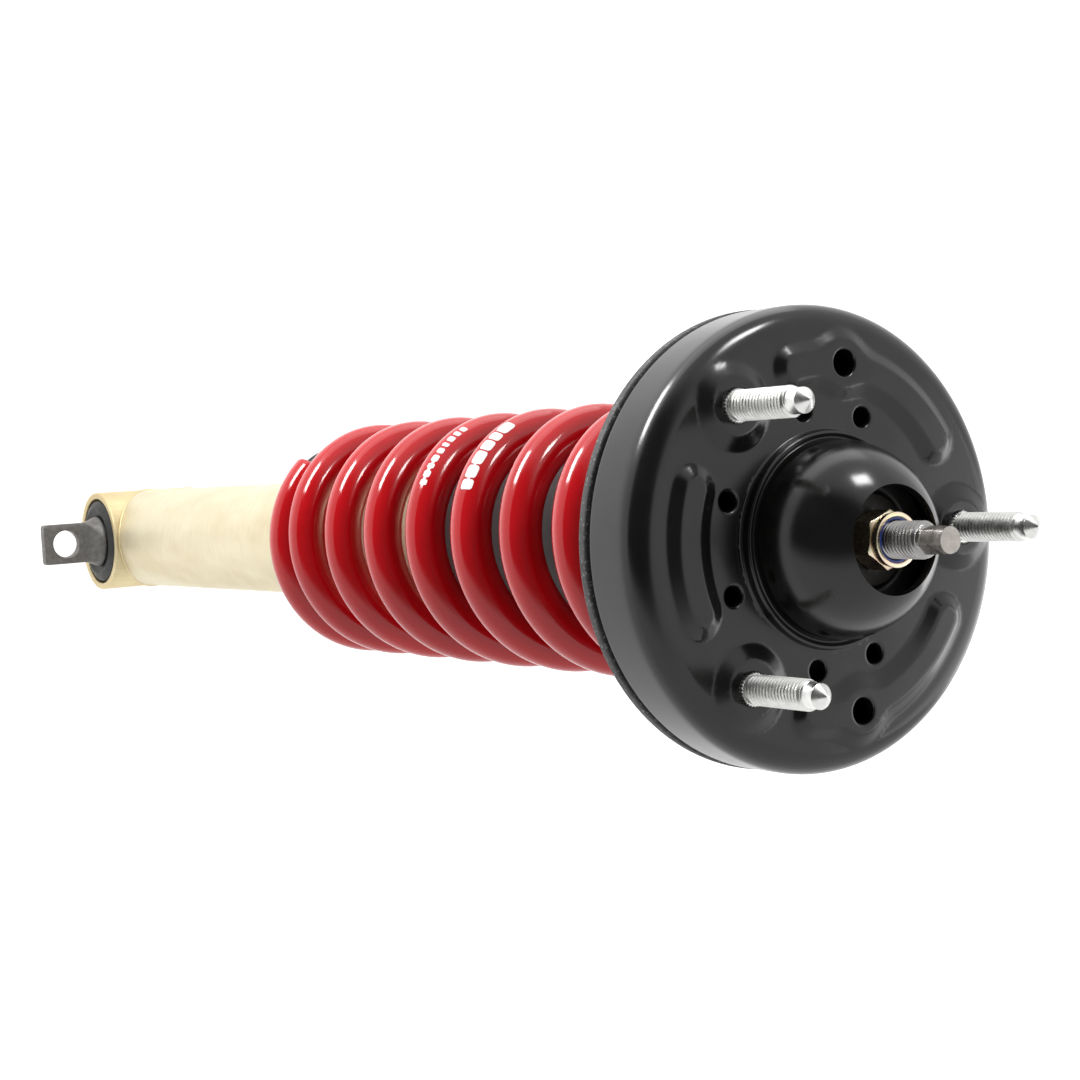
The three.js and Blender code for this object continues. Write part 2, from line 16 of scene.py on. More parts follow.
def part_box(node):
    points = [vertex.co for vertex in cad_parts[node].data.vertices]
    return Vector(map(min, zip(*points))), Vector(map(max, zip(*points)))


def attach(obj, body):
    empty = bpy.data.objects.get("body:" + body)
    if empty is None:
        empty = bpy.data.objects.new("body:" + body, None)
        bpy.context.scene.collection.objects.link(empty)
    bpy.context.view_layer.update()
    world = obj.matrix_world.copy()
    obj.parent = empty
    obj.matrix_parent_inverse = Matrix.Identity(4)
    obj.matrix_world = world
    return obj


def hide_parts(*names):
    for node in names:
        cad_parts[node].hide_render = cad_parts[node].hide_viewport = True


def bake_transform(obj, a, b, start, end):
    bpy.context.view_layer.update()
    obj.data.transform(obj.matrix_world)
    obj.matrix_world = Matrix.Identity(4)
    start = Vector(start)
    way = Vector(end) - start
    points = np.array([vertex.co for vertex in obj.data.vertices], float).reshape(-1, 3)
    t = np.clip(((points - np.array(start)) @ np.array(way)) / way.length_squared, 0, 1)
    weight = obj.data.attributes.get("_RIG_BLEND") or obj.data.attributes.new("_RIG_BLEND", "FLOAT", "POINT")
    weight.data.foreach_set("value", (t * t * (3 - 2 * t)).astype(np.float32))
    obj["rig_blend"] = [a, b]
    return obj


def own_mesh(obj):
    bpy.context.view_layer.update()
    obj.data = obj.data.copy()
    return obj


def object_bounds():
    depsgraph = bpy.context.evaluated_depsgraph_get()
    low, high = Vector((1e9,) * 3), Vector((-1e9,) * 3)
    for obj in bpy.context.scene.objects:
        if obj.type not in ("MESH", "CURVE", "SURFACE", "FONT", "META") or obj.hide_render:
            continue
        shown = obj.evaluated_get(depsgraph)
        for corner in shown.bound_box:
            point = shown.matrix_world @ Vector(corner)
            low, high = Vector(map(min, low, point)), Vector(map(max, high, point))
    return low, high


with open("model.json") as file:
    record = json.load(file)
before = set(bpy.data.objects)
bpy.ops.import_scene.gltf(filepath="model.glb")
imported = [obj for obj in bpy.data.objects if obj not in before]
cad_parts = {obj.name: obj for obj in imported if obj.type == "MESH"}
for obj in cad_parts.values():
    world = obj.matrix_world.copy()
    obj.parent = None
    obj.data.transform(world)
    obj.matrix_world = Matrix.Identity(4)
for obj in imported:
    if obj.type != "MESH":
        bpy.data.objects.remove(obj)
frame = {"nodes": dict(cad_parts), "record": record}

MM = 0.001
cad_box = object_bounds()
record = frame["record"]
slot_of = {part["node"]: part["material_slot"] for part in record["subparts"]}
body_of = {node: body for body, nodes in record["behaviour"]["bodies"].items() for node in nodes}


def box(node):
    """Lowest and highest corner of a CAD node, in millimetres."""
    low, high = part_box(node)
    return low / MM, high / MM


def add_object(name, data):
    obj = bpy.data.objects.new(name, data)
    bpy.context.scene.collection.objects.link(obj)
    return obj


# -------- driving dimensions

plate_low, plate_high = box("mount_plate")
RIM_RADIUS = plate_high.y
RIM_FOOT = plate_low.z
BOSS_RISE = 2.4
PLATE_TOP = -BOSS_RISE
PLATE_SHEET = 3.0
RIM_CORNER = 8.2
FLAT_EDGE = RIM_RADIUS - RIM_CORNER
DOME_RADIUS = 32.5
DOME_CENTRE = 2.2
DOME_MOUTH = 17.5
STEP_FOOT = 36.6

STUD_CIRCLE = 57.3
STUD_ANGLES = (0, 128.7, -128.7)
STUD_RADIUS = 5.0
STUD_PITCH = 1.5
STUD_THREAD_TOP = 27.6
STUD_DOG_TOP = 32.0
STUD_NOSE = 0.5
STUD_HOLE = 5.35
BOSS_FOOT = 15.0
BOSS_SLOPE = 6.0
PAD_CIRCLE = 57.05
PAD_HALF_WIDTH = 8.45
PAD_SLOPE = 4.8
LOCATING_CIRCLE = 57.7
LOCATING_ANGLE = 81.0
LOCATING_RADIUS = 4.4
LOCATING_BULGE = 12.3
WELD_CIRCLE = 42.7
WELD_ANGLES = (66.2, 100, 159.5, -66.2, -100, -159.5)
WELD_RADIUS = 3.4

ROD_THREAD = 6.0
ROD_PITCH = 1.5
HEX_TIP_FLATS = 8.4
HEX_TIP_LENGTH = 10.0
HEX_TIP_TURN = -18.0  # degrees each hexagon is turned from having a flat face +X
NUT_FLATS = 17.0
NUT_TURN = -8.0
NUT_SHOULDER = 27.1
NUT_COLLAR = 8.9
NUT_RING_SEAT = (1.7, 2.4)  # wall and depth of the collar's seat for the locking ring

WIRE_RADIUS = 7.9
COIL_RADIUS = 43.4
COIL_TOP = -41.6
COIL_FOOT = -317.7
COIL_PITCH = 35.25
END_PITCH = 5.0
END_TURNS = 1.3
LOWER_TIP_ANGLE = 131

EYE_CENTRE = -593.6
PIN_RADIUS = 11.5
PIN_COLLAR = 14.0  # radius of the round collar where the pin leaves the eye
PIN_THICKNESS = 6.0
PIN_BOLT_SPACING = 97.0
PIN_BOLT_RADIUS = 7.5

TURN_STEPS = 144
THREAD_STEPS = 48

# -------- camera, floor and lights

AIM = Vector((-1.6, -0.4, -174.0))
VIEW_DISTANCE = 800.0
VIEW_TILT = 32.56  # degrees between the line of sight and the strut's axis
VIEW_AZIMUTH = 175.49
VIEW_ROLL = -3.56
LENS = 67.36
DARK_GAP_LEVEL = 0.1  # brightness of the studio's dark gap against the rest of it
DARK_GAP_STRETCH = 2.0  # how many times as tall as wide the gap is


def direction(azimuth, elevation):
    """Unit vector at that azimuth from +X and elevation above the XY plane, in degrees."""
    a, e = math.radians(azimuth), math.radians(elevation)
    return Vector((math.cos(e) * math.cos(a), math.cos(e) * math.sin(a), math.sin(e)))


def facing(back, up_hint):
    """Rotation whose local Z is `back` and whose local Y is nearest `up_hint`."""
    up = (up_hint - up_hint.project(back)).normalized()
    return Matrix((up.cross(back), up, back)).transposed()


def add_camera():
    camera = add_object("camera", bpy.data.cameras.new("camera"))
    back = direction(VIEW_AZIMUTH, 90 - VIEW_TILT)
    turn_about_sight = Matrix.Rotation(math.radians(VIEW_ROLL), 3, back)
    rotation = turn_about_sight @ facing(back, Vector((0, 1, 0)))
    place = (AIM + back * VIEW_DISTANCE) * MM
    camera.matrix_world = Matrix.Translation(place) @ rotation.to_4x4()
    camera.data.lens = LENS
    camera.data.sensor_width = 36
    camera.data.clip_start = 0.01
    bpy.context.scene.camera = camera


def add_softbox(name, azimuth, elevation, distance, size, power, aim=(0, 0, -150)):
    """A rectangular area light `distance` millimetres from `aim`, facing it."""
    light = bpy.data.lights.new(name, "AREA")
    light.shape = "RECTANGLE"
    light.size, light.size_y = (side * MM for side in size)
    light.energy = power
    lamp = add_object(name, light)
    back = direction(azimuth, elevation)
    place = (Vector(aim) + back * distance) * MM
    lamp.matrix_world = Matrix.Translation(place) @ facing(back, Vector((0, 0, 1))).to_4x4()
    lamp.visible_camera = False


def add_world(strength, dark_side, spread):
    """A pale studio with a tall gap towards (azimuth, elevation), dark to the first angle in `spread` and
    gone by the second."""
    world = bpy.data.worlds.new("studio")
    bpy.context.scene.world = world
    world.use_nodes = True
    nodes, link = world.node_tree.nodes, world.node_tree.links.new
    azimuth, elevation = (math.radians(a) for a in dark_side)
    turned_to_gap = nodes.new("ShaderNodeMapping")
    turned_to_gap.vector_type = "TEXTURE"
    turned_to_gap.inputs["Rotation"].default_value = (0, -elevation, azimuth)
    turned_to_gap.inputs["Scale"].default_value = (1, 1, DARK_GAP_STRETCH)
    link(nodes.new("ShaderNodeTexCoord").outputs["Generated"], turned_to_gap.inputs["Vector"])
    direction_in_gap = nodes.new("ShaderNodeVectorMath")
    direction_in_gap.operation = "NORMALIZE"
    link(turned_to_gap.outputs["Vector"], direction_in_gap.inputs[0])
    closeness = nodes.new("ShaderNodeSeparateXYZ")
    link(direction_in_gap.outputs["Vector"], closeness.inputs["Vector"])
    ramp = nodes.new("ShaderNodeValToRGB")
    ramp.color_ramp.interpolation = "EASE"
    for element, angle, level in zip(ramp.color_ramp.elements, reversed(spread), (1.0, DARK_GAP_LEVEL)):
        element.position = math.cos(math.radians(angle))
        element.color = (level, level, level, 1)
    link(closeness.outputs["X"], ramp.inputs["Fac"])
    background = nodes["Background"]
    link(ramp.outputs["Color"], background.inputs["Color"])
    background.inputs["Strength"].default_value = strength


# -------- finishes

NOISE_LOW, NOISE_HIGH = 0.3, 0.7


class Finish:
    """A principled material under construction, textured in the part's own coordinates."""

    def __init__(self, name, **settings):
        self.material = bpy.data.materials.new(name)
        self.material.use_nodes = True
        self.tree = self.material.node_tree
        self.shader = self.tree.nodes["Principled BSDF"]
        self.place = self.node("ShaderNodeTexCoord").outputs["Object"]
        for socket, value in settings.items():
            self.shader.inputs[socket.replace("_", " ").title().replace("Ior", "IOR")].default_value = value

    def node(self, kind, **values):
        made = self.tree.nodes.new(kind)
        for key, value in values.items():
            if key in made.inputs:
                made.inputs[key].default_value = value
            else:
                setattr(made, key, value)
        return made

    def link(self, output, target):
        self.tree.links.new(output, target)

    def noise(self, size, detail, stretch=(1, 1, 1)):
        """Noise with features about `size` millimetres across, stretched along the axes."""
        mapping = self.node("ShaderNodeMapping")
        mapping.inputs["Scale"].default_value = [1 / (size * MM * s) for s in stretch]
        self.link(self.place, mapping.inputs["Vector"])
        texture = self.node("ShaderNodeTexNoise", Scale=1.0, Detail=detail, Roughness=0.5)
        self.link(mapping.outputs["Vector"], texture.inputs["Vector"])
        return texture.outputs["Fac"]

    def ramp(self, factor, *stops):
        """Colour stops as (position, colour) pairs, the colour a number or three."""
        node = self.node("ShaderNodeValToRGB")
        elements = node.color_ramp.elements
        while len(elements) < len(stops):
            elements.new(0.5)
        for element, (position, colour) in zip(elements, stops):
            element.position = position
            rgb = colour if isinstance(colour, tuple) else (colour,) * 3
            element.color = (*rgb, 1)
        self.link(factor, node.inputs["Fac"])
        return node.outputs["Color"]

    def between(self, factor, low, high):
        """Goes from `low` to `high` over the range where most of a noise texture lies."""
        return self.ramp(factor, (NOISE_LOW, low), (NOISE_HIGH, high))

    def mix(self, factor, first, second):
        node = self.node("ShaderNodeMix", data_type="RGBA")
        self.link(factor, node.inputs["Factor"])
        self.link(first, node.inputs[6])
        self.link(second, node.inputs[7])
        return node.outputs[2]

    def colour(self, output):
        self.link(output, self.shader.inputs["Base Color"])

    def roughness(self, size, detail, low, high, top=NOISE_HIGH):
        rough = self.ramp(self.noise(size, detail), (NOISE_LOW, low), (top, high))
        self.link(rough, self.shader.inputs["Roughness"])

    def bump(self, height, depth, below=None):
        """Surface relief `depth` millimetres deep."""
        node = self.node("ShaderNodeBump", Strength=1.0, Distance=depth * MM)
        self.link(height, node.inputs["Height"])
        if below is not None:
            self.link(below, node.inputs["Normal"])
        self.link(node.outputs["Normal"], self.shader.inputs["Normal"])
        return node.outputs["Normal"]


def gloss_black():
    f = Finish("gloss_black_paint")
    f.colour(f.between(f.noise(14, 4), (0.0028, 0.0027, 0.0028), (0.0065, 0.006, 0.0058)))
    f.roughness(22, 5, 0.15, 0.25, top=0.75)
    orange_peel = f.bump(f.noise(1.4, 2), 0.006)
    f.bump(f.noise(12, 1), 0.04, below=orange_peel)
    return f.material


def bright_zinc():
    f = Finish("bright_zinc", metallic=1.0)
    f.colour(f.ramp(f.noise(2.2, 4), (0.3, (0.7, 0.7, 0.68)), (0.65, (0.78, 0.78, 0.76))))
    f.roughness(3, 4, 0.2, 0.38)
    f.bump(f.noise(0.5, 2), 0.001)
    return f.material


def yellow_zinc():
    f = Finish("yellow_zinc", metallic=1.0)
    tint = f.ramp(f.noise(5, 3), (0.3, (0.86, 0.78, 0.5)), (0.5, (0.9, 0.7, 0.55)), (0.7, (0.78, 0.8, 0.55)))
    f.colour(tint)
    f.roughness(2, 3, 0.2, 0.36)
    f.bump(f.noise(0.4, 2), 0.008)
    return f.material


def gold_zinc(name, tint):
    """Brushed gold plating. `tint` multiplies its colours."""
    def tinted(*colour):
        return tuple(c * t for c, t in zip(colour, tint))

    f = Finish(name, metallic=1.0, anisotropic=0.3)
    grain = f.noise(0.5, 4, stretch=(24, 24, 1))
    cloud = f.noise(26, 4, stretch=(1, 1, 2.2))
    light = f.between(grain, tinted(0.62, 0.565, 0.41), tinted(0.69, 0.635, 0.475))
    deep = f.between(grain, tinted(0.55, 0.475, 0.31), tinted(0.62, 0.55, 0.385))
    f.colour(f.mix(f.ramp(cloud, (0.42, 0.0), (0.66, 1.0)), light, deep))
    f.roughness(18, 5, 0.48, 0.58)
    f.bump(grain, 0.012)
    return f.material


def steel(name, tone=0.55, rough=0.34, warmth=0.0):
    f = Finish(name, metallic=1.0)
    light = (tone, tone * (1 - warmth), tone * (1 - 2 * warmth))
    f.colour(f.between(f.noise(3, 4), tuple(0.8 * c for c in light), light))
    f.roughness(2.4, 4, rough * 0.75, rough * 1.25)
    f.bump(f.noise(0.3, 2, stretch=(6, 6, 1)), 0.01)
    return f.material


def red_powder_coat():
    f = Finish("red_powder_coat")
    f.colour(f.between(f.noise(30, 3), (0.35, 0.0025, 0.005), (0.42, 0.004, 0.008)))
    f.roughness(9, 3, 0.09, 0.15)
    f.bump(f.noise(2.4, 2), 0.012)
    return f.material


def rubber(name, tone, speckle=0.0, rough=0.62):
    f = Finish(name, specular_ior_level=0.4)
    base = f.between(f.noise(4, 5), tone * 0.7, tone * 1.2)
    if speckle:
        dust = f.ramp(f.noise(0.9, 3), (0.57, 0.0), (0.66, 1.0))
        base = f.mix(dust, base, f.between(f.noise(2, 2), tone, speckle))
    f.colour(base)
    f.roughness(5, 4, rough * 0.85, rough * 1.15)
    f.bump(f.noise(0.6, 4), 0.03)
    return f.material


def plastic(name, light, dark, rough):
    f = Finish(name)
    f.colour(f.between(f.noise(12, 4), dark, light))
    f.roughness(8, 4, rough * 0.85, rough * 1.15)
    f.bump(f.noise(0.5, 3), 0.01)
    return f.material


def foam():
    f = Finish("red_urethane", specular_ior_level=0.35)
    cells = f.noise(0.6, 4)
    f.colour(f.between(cells, (0.2, 0.01, 0.008), (0.36, 0.03, 0.02)))
    f.roughness(3, 3, 0.5, 0.7)
    f.bump(cells, 0.08)
    return f.material


def grey_coat(name, light, dark):
    f = Finish(name, metallic=0.35)
    f.colour(f.between(f.noise(2.5, 5), dark, light))
    f.roughness(3, 4, 0.42, 0.6)
    f.bump(f.noise(0.5, 4), 0.03)
    return f.material


def paper_floor():
    f = Finish("floor_paper", specular_ior_level=0.1)
    f.colour(f.between(f.noise(60, 3), 0.93, 0.95))
    f.roughness(40, 2, 0.85, 0.95)
    f.shader.inputs["Emission Color"].default_value = (1, 1, 1, 1)
    f.shader.inputs["Emission Strength"].default_value = 0.5
    return f.material


finishes = {
    "black_paint": gloss_black(),
    "bright_zinc": bright_zinc(),
    "yellow_zinc": yellow_zinc(),
    "gold_zinc": gold_zinc("gold_zinc", (1, 1, 1)),
    "plain_steel": steel("plain_steel"),
    "hard_chrome": steel("hard_chrome", 0.8, 0.08),
    "red_powder_coat": red_powder_coat(),
    "rubber": rubber("black_rubber", 0.05, speckle=0.26),
    "seal_rubber": rubber("seal_rubber", 0.03),
    "red_urethane": foam(),
    "dust_tube_plastic": plastic("dust_tube_plastic", (0.035, 0.035, 0.034), (0.022, 0.022, 0.022), 0.4),
    "blue_nylon": plastic("blue_nylon", (0.03, 0.06, 0.32), (0.02, 0.04, 0.22), 0.3),
    "grey_coat": grey_coat("grey_phosphate", (0.17, 0.162, 0.152), (0.11, 0.106, 0.1)),
    "bearing_band": plastic("bearing_band", (0.28, 0.18, 0.1), (0.2, 0.12, 0.07), 0.5),
    "machined_alloy": steel("machined_alloy", 0.72, 0.3),
}
# Darker, tan-tinted gold for the eye and its weld: painted shade, standing in for the shade where the eye
# meets the tube.
shaded_eye_gold = gold_zinc("gold_zinc_painted_shade", (0.98, 0.91, 0.76))
rod_steel = steel("rod_thread_steel", 0.38, 0.2, warmth=0.02)
tip_steel = steel("rod_tip_steel", 0.38, 0.28, warmth=0.07)
# Nearly black washer finish: painted shade, standing in for the shade deep inside the dome's mouth.
shade_dark_washer_coat = grey_coat("washer_painted_shade", (0.02, 0.018, 0.016), (0.012, 0.011, 0.01))
bush_rubber = rubber("bush_rubber", 0.012, rough=0.5)
print_white = plastic("print_white", (0.78, 0.74, 0.74), (0.68, 0.63, 0.63), 0.45)

# -------- mesh helpers


def drop_doubles(bm):
    bmesh.ops.remove_doubles(bm, verts=bm.verts, dist=1e-4)
    bmesh.ops.dissolve_degenerate(bm, edges=bm.edges, dist=1e-5)


def new_mesh(name, bm):
    """A mesh that takes over what the bmesh holds."""
    mesh = bpy.data.meshes.new(name)
    bm.to_mesh(mesh)
    bm.free()
    return mesh


def smooth_mesh(name, bm, sharp=50.0):
    """A mesh in metres from a bmesh in millimetres, smooth but for edges over `sharp` degrees."""
    bmesh.ops.recalc_face_normals(bm, faces=bm.faces)
    bmesh.ops.scale(bm, vec=(MM, MM, MM), verts=bm.verts)
    mesh = new_mesh(name, bm)
    mesh.shade_smooth()
    mesh.set_sharp_from_angle(angle=math.radians(sharp))
    return mesh


def finish_piece(name, bm, node, material=None, stands_for=True, sharp=50.0):
    """Makes an object from a bmesh in millimetres, with its node's body and finish."""
    drop_doubles(bm)
    return dress(name, smooth_mesh(name, bm, sharp), node, material, stands_for)


def dress(name, mesh, node, material=None, stands_for=True, rides=True):
    obj = add_object(name, mesh)
    mesh.materials.append(material or finishes[slot_of[node]])
    if stands_for:
        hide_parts(node)
    if rides:
        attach(obj, body_of[node])
    return obj


def grid_faces(bm, rows, close_rows=False, close_columns=True):
    """Quads between successive rows of bmesh vertices of equal length."""
    pairs = list(zip(rows, rows[1:]))
    if close_rows:
        pairs.append((rows[-1], rows[0]))
    for row, other in pairs:
        last = len(row) if close_columns else len(row) - 1
        for i in range(last):
            j = (i + 1) % len(row)
            bm.faces.new((row[i], row[j], other[j], other[i]))


def capped_tube(bm, rows):
    """Quads between the rows, and a face over each end."""
    grid_faces(bm, rows)
    bm.faces.new(rows[0])
    bm.faces.new(rows[-1])


def ring_row(bm, radius, height, steps, span=(0.0, 360.0)):
    """A row of vertices round Z. A span short of a full turn keeps both of its ends."""
    start, end = (math.radians(a) for a in span)
    whole = span[1] - span[0] >= 360
    count = steps if whole else steps + 1
    angles = [start + (end - start) * i / steps for i in range(count)]
    return [bm.verts.new((radius * math.cos(a), radius * math.sin(a), height)) for a in angles]


def turned(outline, closed=True, steps=TURN_STEPS, span=(0.0, 360.0)):
    """A bmesh of a (radius, height) outline turned about Z."""
    bm = bmesh.new()
    rows = [ring_row(bm, r, z, steps, span) for r, z in outline]
    whole = span[1] - span[0] >= 360
    grid_faces(bm, rows, close_rows=closed, close_columns=whole)
    if not whole:
        bm.faces.new([row[0] for row in rows])
        bm.faces.new([row[-1] for row in rows])
    return bm


def rounded(points, radius, closed=True, steps=4):
    """The outline with each corner turned into an arc of up to `radius`."""
    count = len(points)
    result = []
    for i, point in enumerate(points):
        if not closed and i in (0, count - 1):
            result.append(point)
            continue
        corner = Vector(point)
        before = Vector(points[i - 1]) - corner
        after = Vector(points[(i + 1) % count]) - corner
        half = before.angle(after) / 2
        reach = min(radius / math.tan(half), before.length * 0.45, after.length * 0.45)
        if half > math.radians(86) or reach < 0.02:
            result.append(point)
            continue
        start, end = corner + before.normalized() * reach, corner + after.normalized() * reach
        for k in range(steps + 1):
            t = k / steps
            spot = start * (1 - t) ** 2 + corner * 2 * t * (1 - t) + end * t ** 2
            result.append((spot.x, spot.y))
    return result


SECTION_TWIST = 1e-5  # keeps the mesh's own vertices off the cutting plane
X_TO_Z = Matrix.Rotation(math.radians(-90), 4, "Y")


def half_section(node, about_x=False):
    """A turned CAD node's outline on one side of its axis: its (radius, height) points, and if it closes."""
    bm = bmesh.new()
    bm.from_mesh(frame["nodes"][node].data)
    bmesh.ops.remove_doubles(bm, verts=bm.verts, dist=1e-7)
    bmesh.ops.scale(bm, vec=(1 / MM,) * 3, verts=bm.verts)
    if about_x:
        bmesh.ops.translate(bm, vec=(0, 0, -EYE_CENTRE), verts=bm.verts)
        bmesh.ops.transform(bm, matrix=X_TO_Z, verts=bm.verts)
    twist = Matrix.Rotation(SECTION_TWIST, 3, "Z")
    bmesh.ops.rotate(bm, verts=bm.verts, cent=(0, 0, 0), matrix=twist)
    everything = bm.verts[:] + bm.edges[:] + bm.faces[:]
    half = bmesh.ops.bisect_plane(bm, geom=everything, plane_no=(0, 1, 0), clear_inner=True)
    cut = bmesh.ops.bisect_plane(bm, geom=half["geom"], plane_no=(1, 0, 0))["geom_cut"]
    neighbours = {}
    for edge in (e for e in cut if isinstance(e, bmesh.types.BMEdge)):
        for vert, other in (edge.verts, reversed(edge.verts)):
            neighbours.setdefault(vert, []).append(other)
    ends = [v for v, near in neighbours.items() if len(near) == 1]
    vert = ends[0] if ends else next(iter(neighbours))
    chain, seen = [], set()
    while vert is not None:
        chain.append((vert.co.y, vert.co.z))
        seen.add(vert)
        vert = next((v for v in neighbours[vert] if v not in seen), None)
    bm.free()
    return simplified(chain, not ends), not ends


def simplified(points, closed, tolerance=0.012):
    """The outline without doubled points and points on a straight side."""
    kept = []
    for point in points:
        if not kept or math.dist(point, kept[-1]) > 2 * tolerance:
            kept.append(point)
    if closed and math.dist(kept[0], kept[-1]) <= 2 * tolerance:
        kept.pop()

    def bends(i):
        if not closed and i in (0, len(kept) - 1):
            return True
        a, b, c = Vector(kept[i - 1]), Vector(kept[i]), Vector(kept[(i + 1) % len(kept)])
        along = (c - a).normalized()
        return abs((b - a).cross(along)) > tolerance

    return [point for i, point in enumerate(kept) if bends(i)]


def turn_from_frame(node, radius, about_x=False, material=None, arc_steps=4):
    """A finely turned, rounded piece that stands for a faceted turned node."""
    outline, closed = half_section(node, about_x)
    bm = turned(rounded(outline, radius, closed, arc_steps), closed)
    if about_x:
        bmesh.ops.transform(bm, matrix=X_TO_Z.inverted(), verts=bm.verts)
        bmesh.ops.translate(bm, vec=(0, 0, EYE_CENTRE), verts=bm.verts)
    return finish_piece(f"{node}_turned", bm, node, material)


# -------- top plate

PLATE_STEPS = 432
HOLE_STEPS = 40
SMALL_HOLE_STEPS = 32
HOLE_EDGE = 0.8  # rolled radius of a hole's edge
RIM_EDGE_ROUND = 1.1  # radius of the corners of the flange's lower edge
pad_turns = {  # the angle each pad is centred on, and the half span of its middle line
    "left": (180.0, 20.0),
    "back": (66.4, 34.8),
    "front": (-66.4, 34.8),
}


def polar(radius, degrees):
    angle = math.radians(degrees)
    return np.array((radius * math.cos(angle), radius * math.sin(angle)))


def ease(t):
    """Smooth step from 0 to 1, flat at both ends."""
    t = np.clip(t, 0, 1)
    return t * t * t * (t * (6 * t - 15) + 10)


def slope(t, blend=0.11):
    """Rises from 0 to 1 in a straight line whose two ends are eased over `blend` of its length."""
    t = np.clip(t, 0, 1)
    near = np.minimum(t, 1 - t)
    rise = np.where(near < blend, near * near / (2 * blend), near - blend / 2) / (1 - blend)
    return np.where(t < 0.5, rise, 1 - rise)


def smooth_min(a, b, width):
    h = np.clip(0.5 + 0.5 * (b - a) / width, 0, 1)
    return b * (1 - h) + a * h - width * h * (1 - h)


def pad_distance(xy, centre, half_span):
    """Distance outside a pad's foot: an arc of the pad circle, fattened, with round ends."""
    turned_back = np.arctan2(xy[:, 1], xy[:, 0]) - math.radians(centre)
    angle = np.abs((turned_back + math.pi) % (2 * math.pi) - math.pi)
    radius = np.hypot(xy[:, 0], xy[:, 1])
    past_end = np.maximum(angle - math.radians(half_span), 0)
    along = radius * np.sin(np.minimum(past_end, math.pi / 2)) + PAD_CIRCLE * np.maximum(past_end - 1.5, 0)
    across = radius * np.cos(np.minimum(past_end, math.pi / 2)) - PAD_CIRCLE
    return np.hypot(along, across) - PAD_HALF_WIDTH


def raised(xy):
    """Height of the bosses and pads above the flat of the plate."""
    height = np.zeros(len(xy))
    for name, (centre, half_span) in pad_turns.items():
        outside = pad_distance(xy, centre, half_span)
        if name != "left":
            hole = polar(LOCATING_CIRCLE, math.copysign(LOCATING_ANGLE, centre))
            bulge = np.linalg.norm(xy - hole, axis=1) - LOCATING_BULGE
            outside = smooth_min(outside, bulge, 5.0)
        height = np.maximum(height, BOSS_RISE * slope(-outside / PAD_SLOPE))
    for angle in STUD_ANGLES:
        outside = np.linalg.norm(xy - polar(STUD_CIRCLE, angle), axis=1) - BOSS_FOOT
        height = np.maximum(height, BOSS_RISE * slope(-outside / BOSS_SLOPE))
    return height


def plate_holes():
    """Centre and radius of every hole in the plate."""
    holes = [(polar(STUD_CIRCLE, a), STUD_HOLE) for a in STUD_ANGLES]
    holes += [(polar(LOCATING_CIRCLE, s * LOCATING_ANGLE), LOCATING_RADIUS) for s in (1, -1)]
    return holes + [(polar(WELD_CIRCLE, a), WELD_RADIUS) for a in WELD_ANGLES]


def plate_surface(xy, holes):
    """Points on the top and on the underside, for plan points out to the rim."""
    radius = np.hypot(xy[:, 0], xy[:, 1])
    lean = np.arcsin(np.clip((radius - FLAT_EDGE) / RIM_CORNER, 0, 1))
    z = PLATE_TOP - RIM_CORNER * (1 - np.cos(lean)) + raised(xy)
    under = np.column_stack([
        xy * (1 - PLATE_SHEET * np.sin(lean) / radius)[:, None],
        z - PLATE_SHEET * np.cos(lean),
    ])
    for centre, hole in holes:
        inward = np.clip(hole + HOLE_EDGE - np.linalg.norm(xy - centre, axis=1), 0, HOLE_EDGE)
        z = z - (HOLE_EDGE - np.sqrt(HOLE_EDGE ** 2 - inward ** 2))
    return np.column_stack([xy, z]), under


def unit_circle(steps):
    angles = np.radians(np.arange(steps) * 360 / steps)
    return np.column_stack((np.cos(angles), np.sin(angles)))


def plate_plan(holes):
    """Triangulates the flat and the rim's corner with exact rings round every hole."""
    flat_radii = list(np.linspace(STEP_FOOT, FLAT_EDGE, 38))
    leans = np.radians(np.linspace(0, 90, 13)[1:])
    radii = flat_radii + [FLAT_EDGE + RIM_CORNER * math.sin(lean) for lean in leans]
    points = np.concatenate([radius * unit_circle(PLATE_STEPS) for radius in radii])
    inner = list(range(PLATE_STEPS))
    outer = list(range(len(points) - PLATE_STEPS, len(points)))
    margins = [HOLE_EDGE * share for share in (0, 0.08, 0.22, 0.42, 0.7, 1, 1.8)]
    clearance = 0.3  # between the last ring round a hole and the nearest point of the grid
    chord_dip = 0.985  # how near a hole's rings its own triangles' middles may come
    keep = np.ones(len(points), bool)
    for centre, hole in holes:
        near = np.linalg.norm(points - centre, axis=1) < hole + margins[-1] + clearance
        near[inner + outer] = False
        keep &= ~near
    index = np.cumsum(keep) - 1
    loops = [list(index[inner]), list(index[outer])]
    points = points[keep]
    for centre, hole in holes:
        steps = HOLE_STEPS if hole > WELD_RADIUS else SMALL_HOLE_STEPS
        circle = unit_circle(steps)
        loops.append(list(range(len(points), len(points) + steps)))
        points = np.concatenate([points, *(centre + (hole + m) * circle for m in margins)])
    edges = [(a, b) for loop in loops for a, b in zip(loop, loop[1:] + loop[:1])]
    found = delaunay_2d_cdt([Vector(p) for p in points], edges, [], 0, 1e-6)
    faces = []
    for face in found[2]:
        middle = points[list(face)].mean(axis=0)
        inside_hole = any(np.linalg.norm(middle - c) < r * chord_dip for c, r in holes)
        inside_step = np.linalg.norm(middle) <= STEP_FOOT * 0.9998
        if not inside_hole and not inside_step:
            faces.append(tuple(face))
    return points, faces, loops


